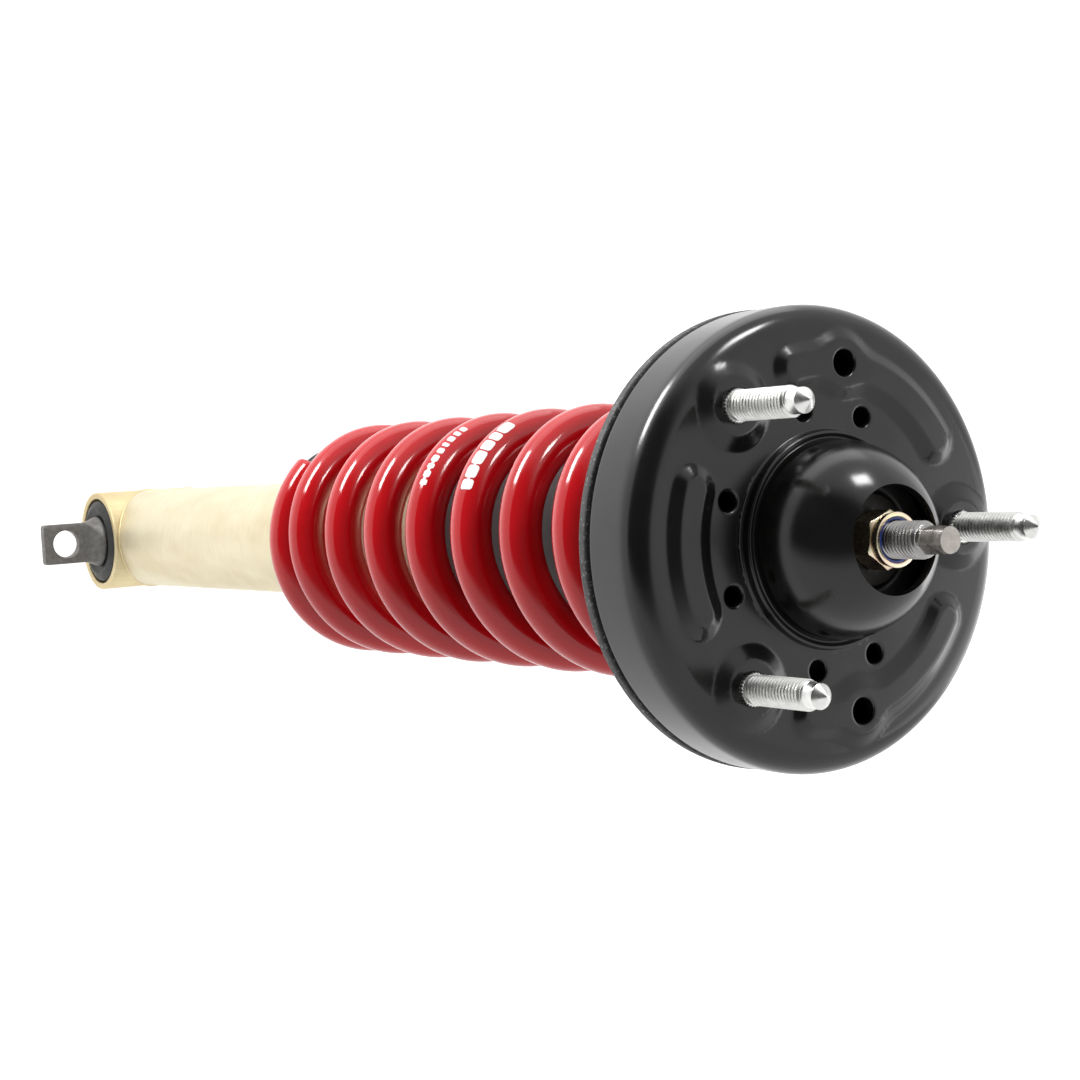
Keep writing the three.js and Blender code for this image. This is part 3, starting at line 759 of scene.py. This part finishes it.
def dome_profile():
    """Outline from the plate's flat up over the step and dome, through the mouth and back underneath."""
    mouth = math.acos(DOME_MOUTH / DOME_RADIUS)
    foot = [
        (STEP_FOOT, PLATE_TOP), (36.0, -2.3), (35.7, -1.9), (35.6, -1.2), (35.55, 0.1), (35.35, 0.75),
        (34.9, 1.05), (34.35, 0.95), (33.9, 0.55), (33.5, 0.15), (33.15, 0.05), (32.8, 0.35), (32.6, 1.1),
    ]
    sphere = [polar_point(DOME_RADIUS, mouth * t) for t in np.linspace(0, 1, 26)]
    inner = DOME_RADIUS - PLATE_SHEET
    inner_mouth = math.acos(DOME_MOUTH / inner)
    upper, lower = Vector(sphere[-1]), Vector(polar_point(inner, inner_mouth))
    bulge = 0.55  # how far the mouth's edge is rounded inwards
    lip = [tuple(upper.lerp(lower, t) - Vector((bulge * math.sin(math.pi * t), 0))) for t in (0.2, 0.5, 0.8)]
    inside = [polar_point(inner, inner_mouth * t) for t in np.linspace(1, 0, 14)]
    under = [(STEP_FOOT - 4.4, PLATE_TOP - 1.2), (STEP_FOOT, PLATE_TOP - PLATE_SHEET)]
    return foot + sphere + lip + inside + under


def polar_point(radius, angle):
    return radius * math.cos(angle), DOME_CENTRE + radius * math.sin(angle)


def rim_profile():
    """Outline from the outer corner down the flange, round its edge and up inside."""
    inner = RIM_RADIUS - PLATE_SHEET
    turn_z = PLATE_TOP - RIM_CORNER
    edge_top = RIM_FOOT + 1.2
    wall = [(RIM_RADIUS, z) for z in np.linspace(turn_z, edge_top, 8)]
    edge = rounded([(RIM_RADIUS, edge_top), (RIM_RADIUS, RIM_FOOT), (inner, RIM_FOOT), (inner, edge_top)],
                   RIM_EDGE_ROUND, closed=False, steps=5)
    return wall + edge[1:] + [(inner, turn_z)]


def build_plate():
    holes = plate_holes()
    points, faces, loops = plate_plan(holes)
    top, under = plate_surface(points, holes)
    bm = bmesh.new()
    top_verts = [bm.verts.new(p) for p in top]
    under_verts = [bm.verts.new(p) for p in under]
    for face in faces:
        bm.faces.new([top_verts[i] for i in face])
        bm.faces.new([under_verts[i] for i in reversed(face)])
    for loop in loops[2:]:
        for a, b in zip(loop, loop[1:] + loop[:1]):
            bm.faces.new((top_verts[a], top_verts[b], under_verts[b], under_verts[a]))
    for profile in (dome_profile(), rim_profile()):
        rows = [ring_row(bm, r, z, PLATE_STEPS) for r, z in profile]
        grid_faces(bm, rows)
    finish_piece("mount_plate_stamped", bm, "mount_plate", sharp=60)


# -------- threads, studs, rod and nut

THREAD_DEPTH = 0.6134  # of a metric thread, against its pitch
THREAD_SHAPE = (  # share of the pitch, and height above the root against the depth
    (0.0, 1.0), (0.0625, 1.0), (0.22, 0.5), (0.375, 0.04), (0.5, 0.0), (0.625, 0.04), (0.78, 0.5),
    (0.9375, 1.0),
)
RUN_OUT = (0.5, 0.9)  # lengths over which a thread fades into its root at its foot and its top
STUD_HEAD = (8.5, 3.0)  # radius and height of the head under the plate
STUD_NECK = (0.55, 0.95, 1.4)  # heights of the collar's top, of its cone's top and of the thread's foot


def thread_rows(bm, radius, pitch, foot, top):
    """Rows of a right-hand thread that fades into its root at both ends. Returns the root radius."""
    depth = THREAD_DEPTH * pitch
    root = radius - depth
    turns = math.ceil((top - foot) / pitch) + 2
    rows = []
    for turn in range(turns):
        for phase, height in THREAD_SHAPE:
            row = []
            for i in range(THREAD_STEPS):
                z = foot + pitch * (turn + phase - 1 - i / THREAD_STEPS)
                held = min(max(z, foot), top)
                limit = min((held - foot) / RUN_OUT[0], (top - held) / RUN_OUT[1], 1.0)
                r = root + depth * min(height if held == z else 0.0, limit)
                angle = -2 * math.pi * i / THREAD_STEPS
                row.append(bm.verts.new((r * math.cos(angle), r * math.sin(angle), held)))
            rows.append(row)
    samples = len(THREAD_SHAPE)
    grid_faces(bm, rows, close_columns=False)
    for n in range(samples, len(rows) - 1):
        bm.faces.new((rows[n][-1], rows[n - samples][0], rows[n - samples + 1][0], rows[n + 1][-1]))
    return root


def build_stud(index, angle):
    node = f"stud_{index}"
    low, high = box(node)
    bm = bmesh.new()
    collar_top, cone_top, thread_foot = STUD_NECK
    root = thread_rows(bm, STUD_RADIUS, STUD_PITCH, thread_foot, STUD_THREAD_TOP)
    nose = rounded([(root, STUD_THREAD_TOP), (root, STUD_DOG_TOP), (STUD_NOSE, high.z), (0, high.z)],
                   0.35, closed=False)
    head_radius, head_height = STUD_HEAD
    head_top = low.z + head_height
    collar = STUD_HOLE - 0.1
    shank = rounded([(0, low.z), (head_radius, low.z), (head_radius, head_top), (collar, head_top),
                     (collar, collar_top), (root, cone_top), (root, thread_foot)], 0.3, closed=False)
    for profile in (nose, shank):
        grid_faces(bm, [ring_row(bm, r, z, THREAD_STEPS) for r, z in profile])
    centre = polar(STUD_CIRCLE, angle)
    bmesh.ops.translate(bm, vec=(*centre, 0), verts=bm.verts)
    finish_piece(f"stud_{index}_threaded", bm, node)
    build_serration(index, centre)


def build_serration(index, centre):
    """Ring of small teeth that the pressed stud raises round its hole."""
    teeth = 30
    steps = teeth * 4
    sections = ((4.6, 4.6, 0.9), (5.0, 5.35, 0.8), (5.2, 5.75, 0.35), (5.25, 5.8, -0.9))
    bm = bmesh.new()
    rows = []
    for inner_r, outer_r, z in sections:
        row = []
        for i in range(steps):
            swell = 0.5 + 0.5 * math.cos(2 * math.pi * teeth * i / steps)
            r = inner_r + (outer_r - inner_r) * swell
            a = 2 * math.pi * i / steps
            row.append(bm.verts.new((centre[0] + r * math.cos(a), centre[1] + r * math.sin(a), z)))
        rows.append(row)
    capped_tube(bm, rows)
    finish_piece(f"stud_{index}_serration", bm, f"stud_{index}", stands_for=False, sharp=30)


CORNER_EASE = 0.97  # how much of a hexagon's corners is left, against sharp ones
CONE_FOOT = 0.985  # radius of a chamfer's cone at the end face, against half the flats
CONE_SPREAD = 1.6  # how fast that cone widens
CONE_DEPTH = 0.62  # height of the chamfer against the corners' stand over the flats


def hex_body(bm, flats, foot, top, chamfer, turn, steps=120):
    """A hexagonal prism whose corners are cut by a cone, as deep at each end as `chamfer` says."""
    corner = flats / math.sqrt(3)
    levels = np.linspace(0, 1, 9)
    drop = (corner - flats / 2) * CONE_DEPTH
    heights = [foot + drop * t * chamfer[0] for t in levels]
    heights += [top - drop * (1 - t) * chamfer[1] for t in levels]
    rows = []
    for z in heights:
        limit = corner * CORNER_EASE
        for cut, depth in zip(chamfer, (z - foot, top - z)):
            if cut:
                limit = min(limit, flats / 2 * CONE_FOOT + depth * CONE_SPREAD)
        row = []
        for i in range(steps):
            angle = 2 * math.pi * i / steps
            from_flat = (angle + math.pi / 6) % (math.pi / 3) - math.pi / 6
            r = min(flats / 2 / math.cos(from_flat), limit)
            angle += math.radians(turn)
            row.append(bm.verts.new((r * math.cos(angle), r * math.sin(angle), z)))
        rows.append(row)
    grid_faces(bm, rows)
    return rows[0], rows[-1]


def build_nut():
    low, high = box("rod_nut")
    bm = bmesh.new()
    bottom, shoulder = hex_body(bm, NUT_FLATS, low.z, NUT_SHOULDER, (1, 1), NUT_TURN)
    steps = len(bottom)
    bore = ROD_THREAD + 0.3
    seat, seat_floor = NUT_COLLAR - NUT_RING_SEAT[0], high.z - NUT_RING_SEAT[1]
    collar = rounded([(NUT_FLATS / 2 * 0.94, NUT_SHOULDER), (NUT_COLLAR - 0.5, NUT_SHOULDER + 0.4),
                      (NUT_COLLAR, high.z), (seat, high.z), (seat, seat_floor), (bore, seat_floor),
                      (bore, low.z)], 0.55, closed=False)
    rows = [ring_row(bm, r, z, steps) for r, z in collar]
    grid_faces(bm, [shoulder, *rows, bottom])
    finish_piece("rod_nut_hex", bm, "rod_nut", sharp=32)


def build_rod():
    low, high = box("piston_rod")
    outline, _ = half_section("piston_rod")
    shoulder = max(z for r, z in outline if r > ROD_THREAD + 0.5)
    thread_top = high.z - HEX_TIP_LENGTH
    below = [(r, z) for r, z in outline if z <= shoulder]
    neck = min(r for r, z in below if r > 0.1)
    neck_top = min(z for r, z in below if r > neck + 0.5)
    shank_radius = max(r for r, z in below)
    shank = rounded([(0, low.z), (neck, low.z), (neck, neck_top), (shank_radius, neck_top),
                     (shank_radius, shoulder), (ROD_THREAD - 1, shoulder), (0, shoulder)], 0.3, closed=False)
    finish_piece("piston_rod_chromed", turned(shank, closed=False, steps=96), "piston_rod")

    bm = bmesh.new()
    root = thread_rows(bm, ROD_THREAD, ROD_PITCH, shoulder, thread_top)
    face = rounded([(root, thread_top), (HEX_TIP_FLATS / 2 * 0.96, thread_top + 0.7), (0, thread_top + 0.75)],
                   0.3, closed=False)
    grid_faces(bm, [ring_row(bm, r, z, THREAD_STEPS) for r, z in face])
    bm.faces.new(ring_row(bm, root, shoulder, THREAD_STEPS))
    finish_piece("piston_rod_thread", bm, "piston_rod", rod_steel, stands_for=False)

    bm = bmesh.new()
    bottom, top = hex_body(bm, HEX_TIP_FLATS, thread_top - 0.5, high.z, (0, 0.15), HEX_TIP_TURN, steps=72)
    bm.faces.new(bottom)
    inset = [ring_row(bm, HEX_TIP_FLATS / 2 * share, high.z, len(top)) for share in (0.9, 0.5)]
    grid_faces(bm, [top, *inset])
    bm.faces.new(inset[-1])
    finish_piece("piston_rod_hex_tip", bm, "piston_rod", tip_steel, stands_for=False, sharp=25)


# -------- coil spring

WIRE_SIDES = 40
STEPS_PER_TURN = 96
TIP_ROUND = 1.2  # length over which the wire's cut ends are rounded
PAINT_SKIN = 0.1
DEAD_TURNS = 1.02  # turns at each end that lie against their seat and don't close up
MARK_CORNER = 0.25  # how much of a painted block's width its rounded ends lose


def end_rise(turns):
    """Height gained `turns` away from a closed end, where the pitch opens smoothly."""
    u = min(turns / END_TURNS, 1)
    opening = (COIL_PITCH - END_PITCH) * END_TURNS * (u ** 3 - u ** 4 / 2)
    return END_PITCH * min(turns, END_TURNS) + opening + COIL_PITCH * max(turns - END_TURNS, 0)


coil_turns = 2 * END_TURNS + (COIL_TOP - COIL_FOOT - 2 * end_rise(END_TURNS)) / COIL_PITCH


def coil_point(turns):
    lower = turns < coil_turns / 2
    height = COIL_FOOT + end_rise(turns) if lower else COIL_TOP - end_rise(coil_turns - turns)
    angle = math.radians(LOWER_TIP_ANGLE) + turns * 2 * math.pi
    return Vector((COIL_RADIUS * math.cos(angle), COIL_RADIUS * math.sin(angle), height))


def coil_axes(turns):
    """Outward and upward unit vectors square to the wire."""
    step = 1e-4
    tangent = (coil_point(turns + step) - coil_point(turns - step)).normalized()
    point = coil_point(turns)
    outward = Vector((point.x, point.y, 0)).normalized()
    outward = (outward - outward.project(tangent)).normalized()
    return outward, tangent.cross(outward) * -1


def wire_point(turns, around, radius):
    """A point on the wire: `around` is measured from straight outwards, towards +Z."""
    outward, up = coil_axes(turns)
    angle = math.radians(around)
    return coil_point(turns) + radius * (math.cos(angle) * outward + math.sin(angle) * up)


def travel_share(turns):
    """0 where the wire stays with the upper mount, 1 where it goes with the perch."""
    upper = coil_point(coil_turns - DEAD_TURNS).z
    lower = coil_point(DEAD_TURNS).z
    share = (upper - coil_point(turns).z) / (upper - lower)
    return min(max(share, 0.0), 1.0)


def add_spring_piece(name, bm, shares, material=None, stands_for=True):
    """Makes a piece of the spring and spreads the stroke along its turns."""
    mesh = smooth_mesh(name, bm)
    obj = dress(name, mesh, "coil_spring", material, stands_for, rides=False)
    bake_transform(obj, "upper_mount", "spring_perch", start=(0, 0, COIL_TOP * MM), end=(0, 0, COIL_FOOT * MM))
    mesh.attributes["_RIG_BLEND"].data.foreach_set("value", np.array(shares, np.float32))


def build_spring():
    bm = bmesh.new()
    shares, rows = [], []
    tip = TIP_ROUND / (2 * math.pi * COIL_RADIUS)
    steps = round(coil_turns * STEPS_PER_TURN)
    stations = [(0.0, 0.86), (tip * 0.3, 0.95), (tip, 1.0)]
    stations += [(coil_turns * i / steps, 1.0) for i in range(1, steps)]
    stations += [(coil_turns - t, share) for t, share in reversed(stations[:3])]
    around = [360 * side / WIRE_SIDES for side in range(WIRE_SIDES)]
    for turns, share in stations:
        rows.append([bm.verts.new(wire_point(turns, angle, WIRE_RADIUS * share)) for angle in around])
        shares += [travel_share(turns)] * WIRE_SIDES
    capped_tube(bm, rows)
    add_spring_piece("coil_spring_wound", bm, shares)


def build_spring_mark(name, turns, around, width, blocks, gap):
    """A row of plain painted blocks as long as `blocks` says, the first one `turns` up from the lower tip."""
    bm = bmesh.new()
    shares = []
    turns_per_mm = 1 / (2 * math.pi * COIL_RADIUS)
    half_span = math.degrees(width / WIRE_RADIUS) / 2
    across, along = 7, 7
    for length in blocks:
        layers = []
        for skin in (PAINT_SKIN, -PAINT_SKIN / 2):
            layer = []
            for u in np.linspace(-1, 1, along):
                squeeze = 1 - MARK_CORNER * abs(u) ** 6
                at = turns + length * turns_per_mm * (u + 1) / 2
                for side in np.linspace(-half_span, half_span, across):
                    layer.append(bm.verts.new(wire_point(at, around + side * squeeze, WIRE_RADIUS + skin)))
                    shares.append(travel_share(at))
            grid_faces(bm, [layer[k * across:(k + 1) * across] for k in range(along)], close_columns=False)
            layers.append(layer)
        border = list(range(across)) + [k * across - 1 for k in range(2, along + 1)]
        border += list(range(along * across - 2, (along - 1) * across - 1, -1))
        border += [k * across for k in range(along - 2, 0, -1)]
        outer, inner = layers
        for i, j in zip(border, border[1:] + border[:1]):
            bm.faces.new((outer[i], outer[j], inner[j], inner[i]))
        turns += (length + gap) * turns_per_mm
    add_spring_piece(name, bm, shares, print_white, stands_for=False)


# -------- damper body and bar pin


def saddle_height(radius, angle, clearance=0.3):
    """Height at which the tube's wall meets the eye."""
    eye_radius = box("lower_eye")[1].z - EYE_CENTRE + clearance
    return EYE_CENTRE + math.sqrt(eye_radius ** 2 - (radius * math.sin(angle)) ** 2)


def build_tube():
    outline, _ = half_section("damper_tube")
    eye_top = box("lower_eye")[1].z
    above = [(r, z) for r, z in outline if z > eye_top + 1]
    outer, inner = max(r for r, z in above), min(r for r, z in above)
    start = next(i for i, (r, z) in enumerate(outline) if z <= eye_top + 1)
    ordered = outline[start:] + outline[:start]
    wall = [p for p in ordered if p[1] > eye_top + 1]
    ends = [(inner, eye_top), (outer, eye_top)]
    if wall[0][0] < (outer + inner) / 2:
        ends.reverse()
    bm = turned(rounded(wall, 0.45, closed=False) + ends)
    for vert in bm.verts:
        if vert.co.z < eye_top + 0.5:
            radius = math.hypot(vert.co.x, vert.co.y)
            vert.co.z = saddle_height(radius, math.atan2(vert.co.y, vert.co.x))
    finish_piece("damper_tube_turned", bm, "damper_tube")


def build_eye_weld():
    """Bead of weld round the joint between tube and eye."""
    joint_radius = box("damper_tube")[1].x - 0.4
    bead, ripple, ripples = 1.1, 0.07, 72
    around, sides = 240, 10
    bm = bmesh.new()
    rows = []
    for i in range(around):
        angle = 2 * math.pi * i / around
        out = Vector((math.cos(angle), math.sin(angle), 0))
        middle = out * joint_radius
        middle.z = saddle_height(joint_radius, angle) + 0.2
        radius = bead + ripple * math.cos(angle * ripples)
        row = []
        for side in range(sides):
            a = 2 * math.pi * side / sides
            row.append(bm.verts.new(middle + radius * (math.cos(a) * out + math.sin(a) * Vector((0, 0, 1)))))
        rows.append(row)
    grid_faces(bm, rows, close_rows=True)
    finish_piece("lower_eye_weld", bm, "lower_eye", shaded_eye_gold, stands_for=False)


SNAP_RING_SPAN = (-82.0, 262.0)  # angles of its two ends


def build_snap_ring():
    outline, _ = half_section("snap_ring")
    bm = turned(rounded(outline, 0.6), span=SNAP_RING_SPAN, steps=130)
    finish_piece("snap_ring_open", bm, "snap_ring")


COLLAR_INSET = 1.9  # how far inside the shank's end the collar begins
COLLAR_REACH = 8.5  # length over which it fades into the flat
SHANK_STAND = 1.5  # how far the shank stands out of the eye
FLAT_STAND = 12.0  # how far from the eye the flat has its full width
PIN_CORNER = 1.6  # radius of the flat's corners
PIN_EDGE = 0.5  # radius of its end's edges


def end_round(to_end, radius):
    """How much a rounded end takes off the side, `to_end` millimetres before the end."""
    return radius - math.sqrt(radius ** 2 - (radius - to_end) ** 2) if to_end < radius else 0.0


def pin_section(x, half_length, shank_end, flat_start):
    """Half width, half thickness and squareness of the bar pin's section at x."""
    share = float(ease((abs(x) - shank_end) / (flat_start - shank_end)))
    flat_half = PIN_THICKNESS / 2
    flat_width = math.sqrt(PIN_RADIUS ** 2 - flat_half ** 2)
    width = PIN_RADIUS + (flat_width - PIN_RADIUS) * share
    thickness = PIN_RADIUS + (flat_half - PIN_RADIUS) * share
    outside = abs(x) - (shank_end - COLLAR_INSET)
    swell = (PIN_COLLAR - PIN_RADIUS) * float(ease(outside) * (1 - ease(outside / COLLAR_REACH)))
    width += swell
    thickness += swell
    to_end = half_length - abs(x)
    width -= end_round(to_end, PIN_CORNER)
    thickness -= end_round(to_end, PIN_EDGE)
    return width, thickness, share


def pin_outline(width, thickness, share, steps):
    """Section points from a circle (share 0) to a rectangle with small corners (share 1)."""
    power = 2 + 16 * share ** 2
    points = []
    for i in range(steps):
        angle = 2 * math.pi * i / steps
        c, s = math.cos(angle), math.sin(angle)
        if share > 0:
            stretch = Vector((c * width, s * thickness)).normalized().lerp(Vector((c, s)), 1 - share * 0.5)
            c, s = stretch.normalized()
        scale = (abs(c / width) ** power + abs(s / thickness) ** power) ** (-1 / power)
        points.append((c * scale, s * scale))
    return points


CUTTER_OVERRUN = 5  # how far a cutter reaches past the solid, and how much wider it is there
CUTTER_FLARE = 6


def bored(bm, centres, radius, edge, foot, top, steps=64):
    """Cuts round holes with eased edges through a solid, along Z."""
    body = add_object("uncut", new_mesh("uncut", bm))
    cutter_bm = bmesh.new()
    wide, over = radius + CUTTER_FLARE, CUTTER_OVERRUN
    profile = [(0, foot - over), (wide, foot - over), (radius + edge, foot), (radius, foot + edge),
               (radius, top - edge), (radius + edge, top), (wide, top + over), (0, top + over)]
    for centre in centres:
        part = turned(profile, closed=False, steps=steps)
        drop_doubles(part)
        bmesh.ops.recalc_face_normals(part, faces=part.faces)
        bmesh.ops.translate(part, vec=centre, verts=part.verts)
        part_mesh = new_mesh("cutter_part", part)
        cutter_bm.from_mesh(part_mesh)
        bpy.data.meshes.remove(part_mesh)
    cutter = add_object("cutter", new_mesh("cutter", cutter_bm))
    cut = body.modifiers.new("cut", "BOOLEAN")
    cut.operation, cut.object, cut.solver = "DIFFERENCE", cutter, "EXACT"
    depsgraph = bpy.context.evaluated_depsgraph_get()
    result = bmesh.new()
    result.from_mesh(body.evaluated_get(depsgraph).to_mesh())
    for obj in (body, cutter):
        bpy.data.objects.remove(obj)
    return result


def build_bar_pin():
    half, eye_side = box("bar_pin")[1].x, box("lower_eye")[1].x
    shank_end, flat_start = eye_side + SHANK_STAND, eye_side + FLAT_STAND
    stops = (0, shank_end - COLLAR_INSET, shank_end, flat_start, half - PIN_CORNER)
    right = {half - PIN_CORNER * (1 - math.sin(a)) for a in np.linspace(0, math.pi / 2, 7)}
    for start, end, count in zip(stops, stops[1:], (5, 8, 14, 6)):
        right.update(np.linspace(start, end, count))
    stations = sorted(right | {-x for x in right})
    steps = 72
    bm = bmesh.new()
    rows = []
    for x in stations:
        outline = pin_outline(*pin_section(x, half, shank_end, flat_start), steps)
        rows.append([bm.verts.new((x, y, EYE_CENTRE + z)) for y, z in outline])
    capped_tube(bm, rows)
    bmesh.ops.recalc_face_normals(bm, faces=bm.faces)
    flat = PIN_THICKNESS / 2
    centres = [(side * PIN_BOLT_SPACING / 2, 0, 0) for side in (1, -1)]
    bm = bored(bm, centres, PIN_BOLT_RADIUS, 0.6, EYE_CENTRE - flat, EYE_CENTRE + flat)
    finish_piece("bar_pin_forged", bm, "bar_pin", sharp=40)


# -------- the object

for node, slot_name in slot_of.items():
    materials = frame["nodes"][node].data.materials
    materials.clear()
    materials.append(finishes[slot_name])

build_plate()
for number, stud_angle in enumerate(STUD_ANGLES, start=1):
    build_stud(number, stud_angle)
build_nut()
build_rod()
build_spring()
build_spring_mark("spring_mark_wide", 4.955, 27, 5.0, (5.6, 3.4, 4.2, 5.2, 4.6, 3.6), 0.7)
build_spring_mark("spring_mark_narrow", 3.955, 30, 3.0, (2.2, 1.8, 2.4, 1.6, 2.2, 2.6, 1.8, 2.4, 2.0), 1.1)

corner_radii = {  # how far each turned piece's corners are rounded, in millimetres
    "mount_bush": 2.2, "bush_sleeve": 0.4, "top_washer": 0.5,
    "nut_locking_ring": 0.4, "rebound_washer": 0.5, "spring_seat_plate": 1.2,
    "spring_isolator": 1.0, "dust_tube": 0.5, "bump_stop_cup": 0.6,
    "top_out_bumper": 0.8, "rebound_stop": 0.4, "compression_shims": 0.15,
    "piston": 0.25, "piston_band": 0.2, "rebound_shims": 0.15,
    "lower_spring_perch": 1.0, "perch_pad": 0.8, "rod_guide": 0.4,
    "guide_o_ring": 1.4, "rod_seal": 0.6, "end_cap": 0.5,
    "rod_wiper": 0.7, "retaining_ring": 0.5, "tube_base": 0.6,
    "floating_piston": 0.5, "floating_piston_seal": 1.2,
}
# The top washer takes the nearly black finish of painted shade.
special_finish = {"mount_bush": bush_rubber, "top_washer": shade_dark_washer_coat}
for node, corner in corner_radii.items():
    turn_from_frame(node, corner, material=special_finish.get(node))
# The eye takes the darker gold that carries painted shade.
turn_from_frame("lower_eye", 0.9, about_x=True, material=shaded_eye_gold)
turn_from_frame("eye_bush", 1.2, about_x=True, material=bush_rubber)

bump_stop = turn_from_frame("bump_stop", 5.0, arc_steps=8)
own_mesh(bump_stop)

build_tube()
build_eye_weld()
build_snap_ring()
build_bar_pin()

# -------- studio

add_camera()
add_world(1.05, (155, 35), (28, 50))
add_softbox("key", 80, 29, 330, (85, 60), 0.42, aim=(0, 0, -20))
add_softbox("strip", 124, -12, 600, (240, 150), 3.5)
add_softbox("back_panel", 90, -12, 1000, (1400, 550), 3)
add_softbox("tall_panel", -12, 19, 1000, (450, 1150), 2.4)

floor_mesh = bpy.data.meshes.new("floor")
floor_level = cad_box[0].z
reach = 6.0
floor_corners = [(x * reach, y * reach, floor_level) for x, y in ((-1, -1), (1, -1), (1, 1), (-1, 1))]
floor_mesh.from_pydata(floor_corners, [], [(0, 1, 2, 3)])
floor = add_object("floor", floor_mesh)
floor_mesh.materials.append(paper_floor())
bpy.context.scene.view_settings.view_transform = "Standard"
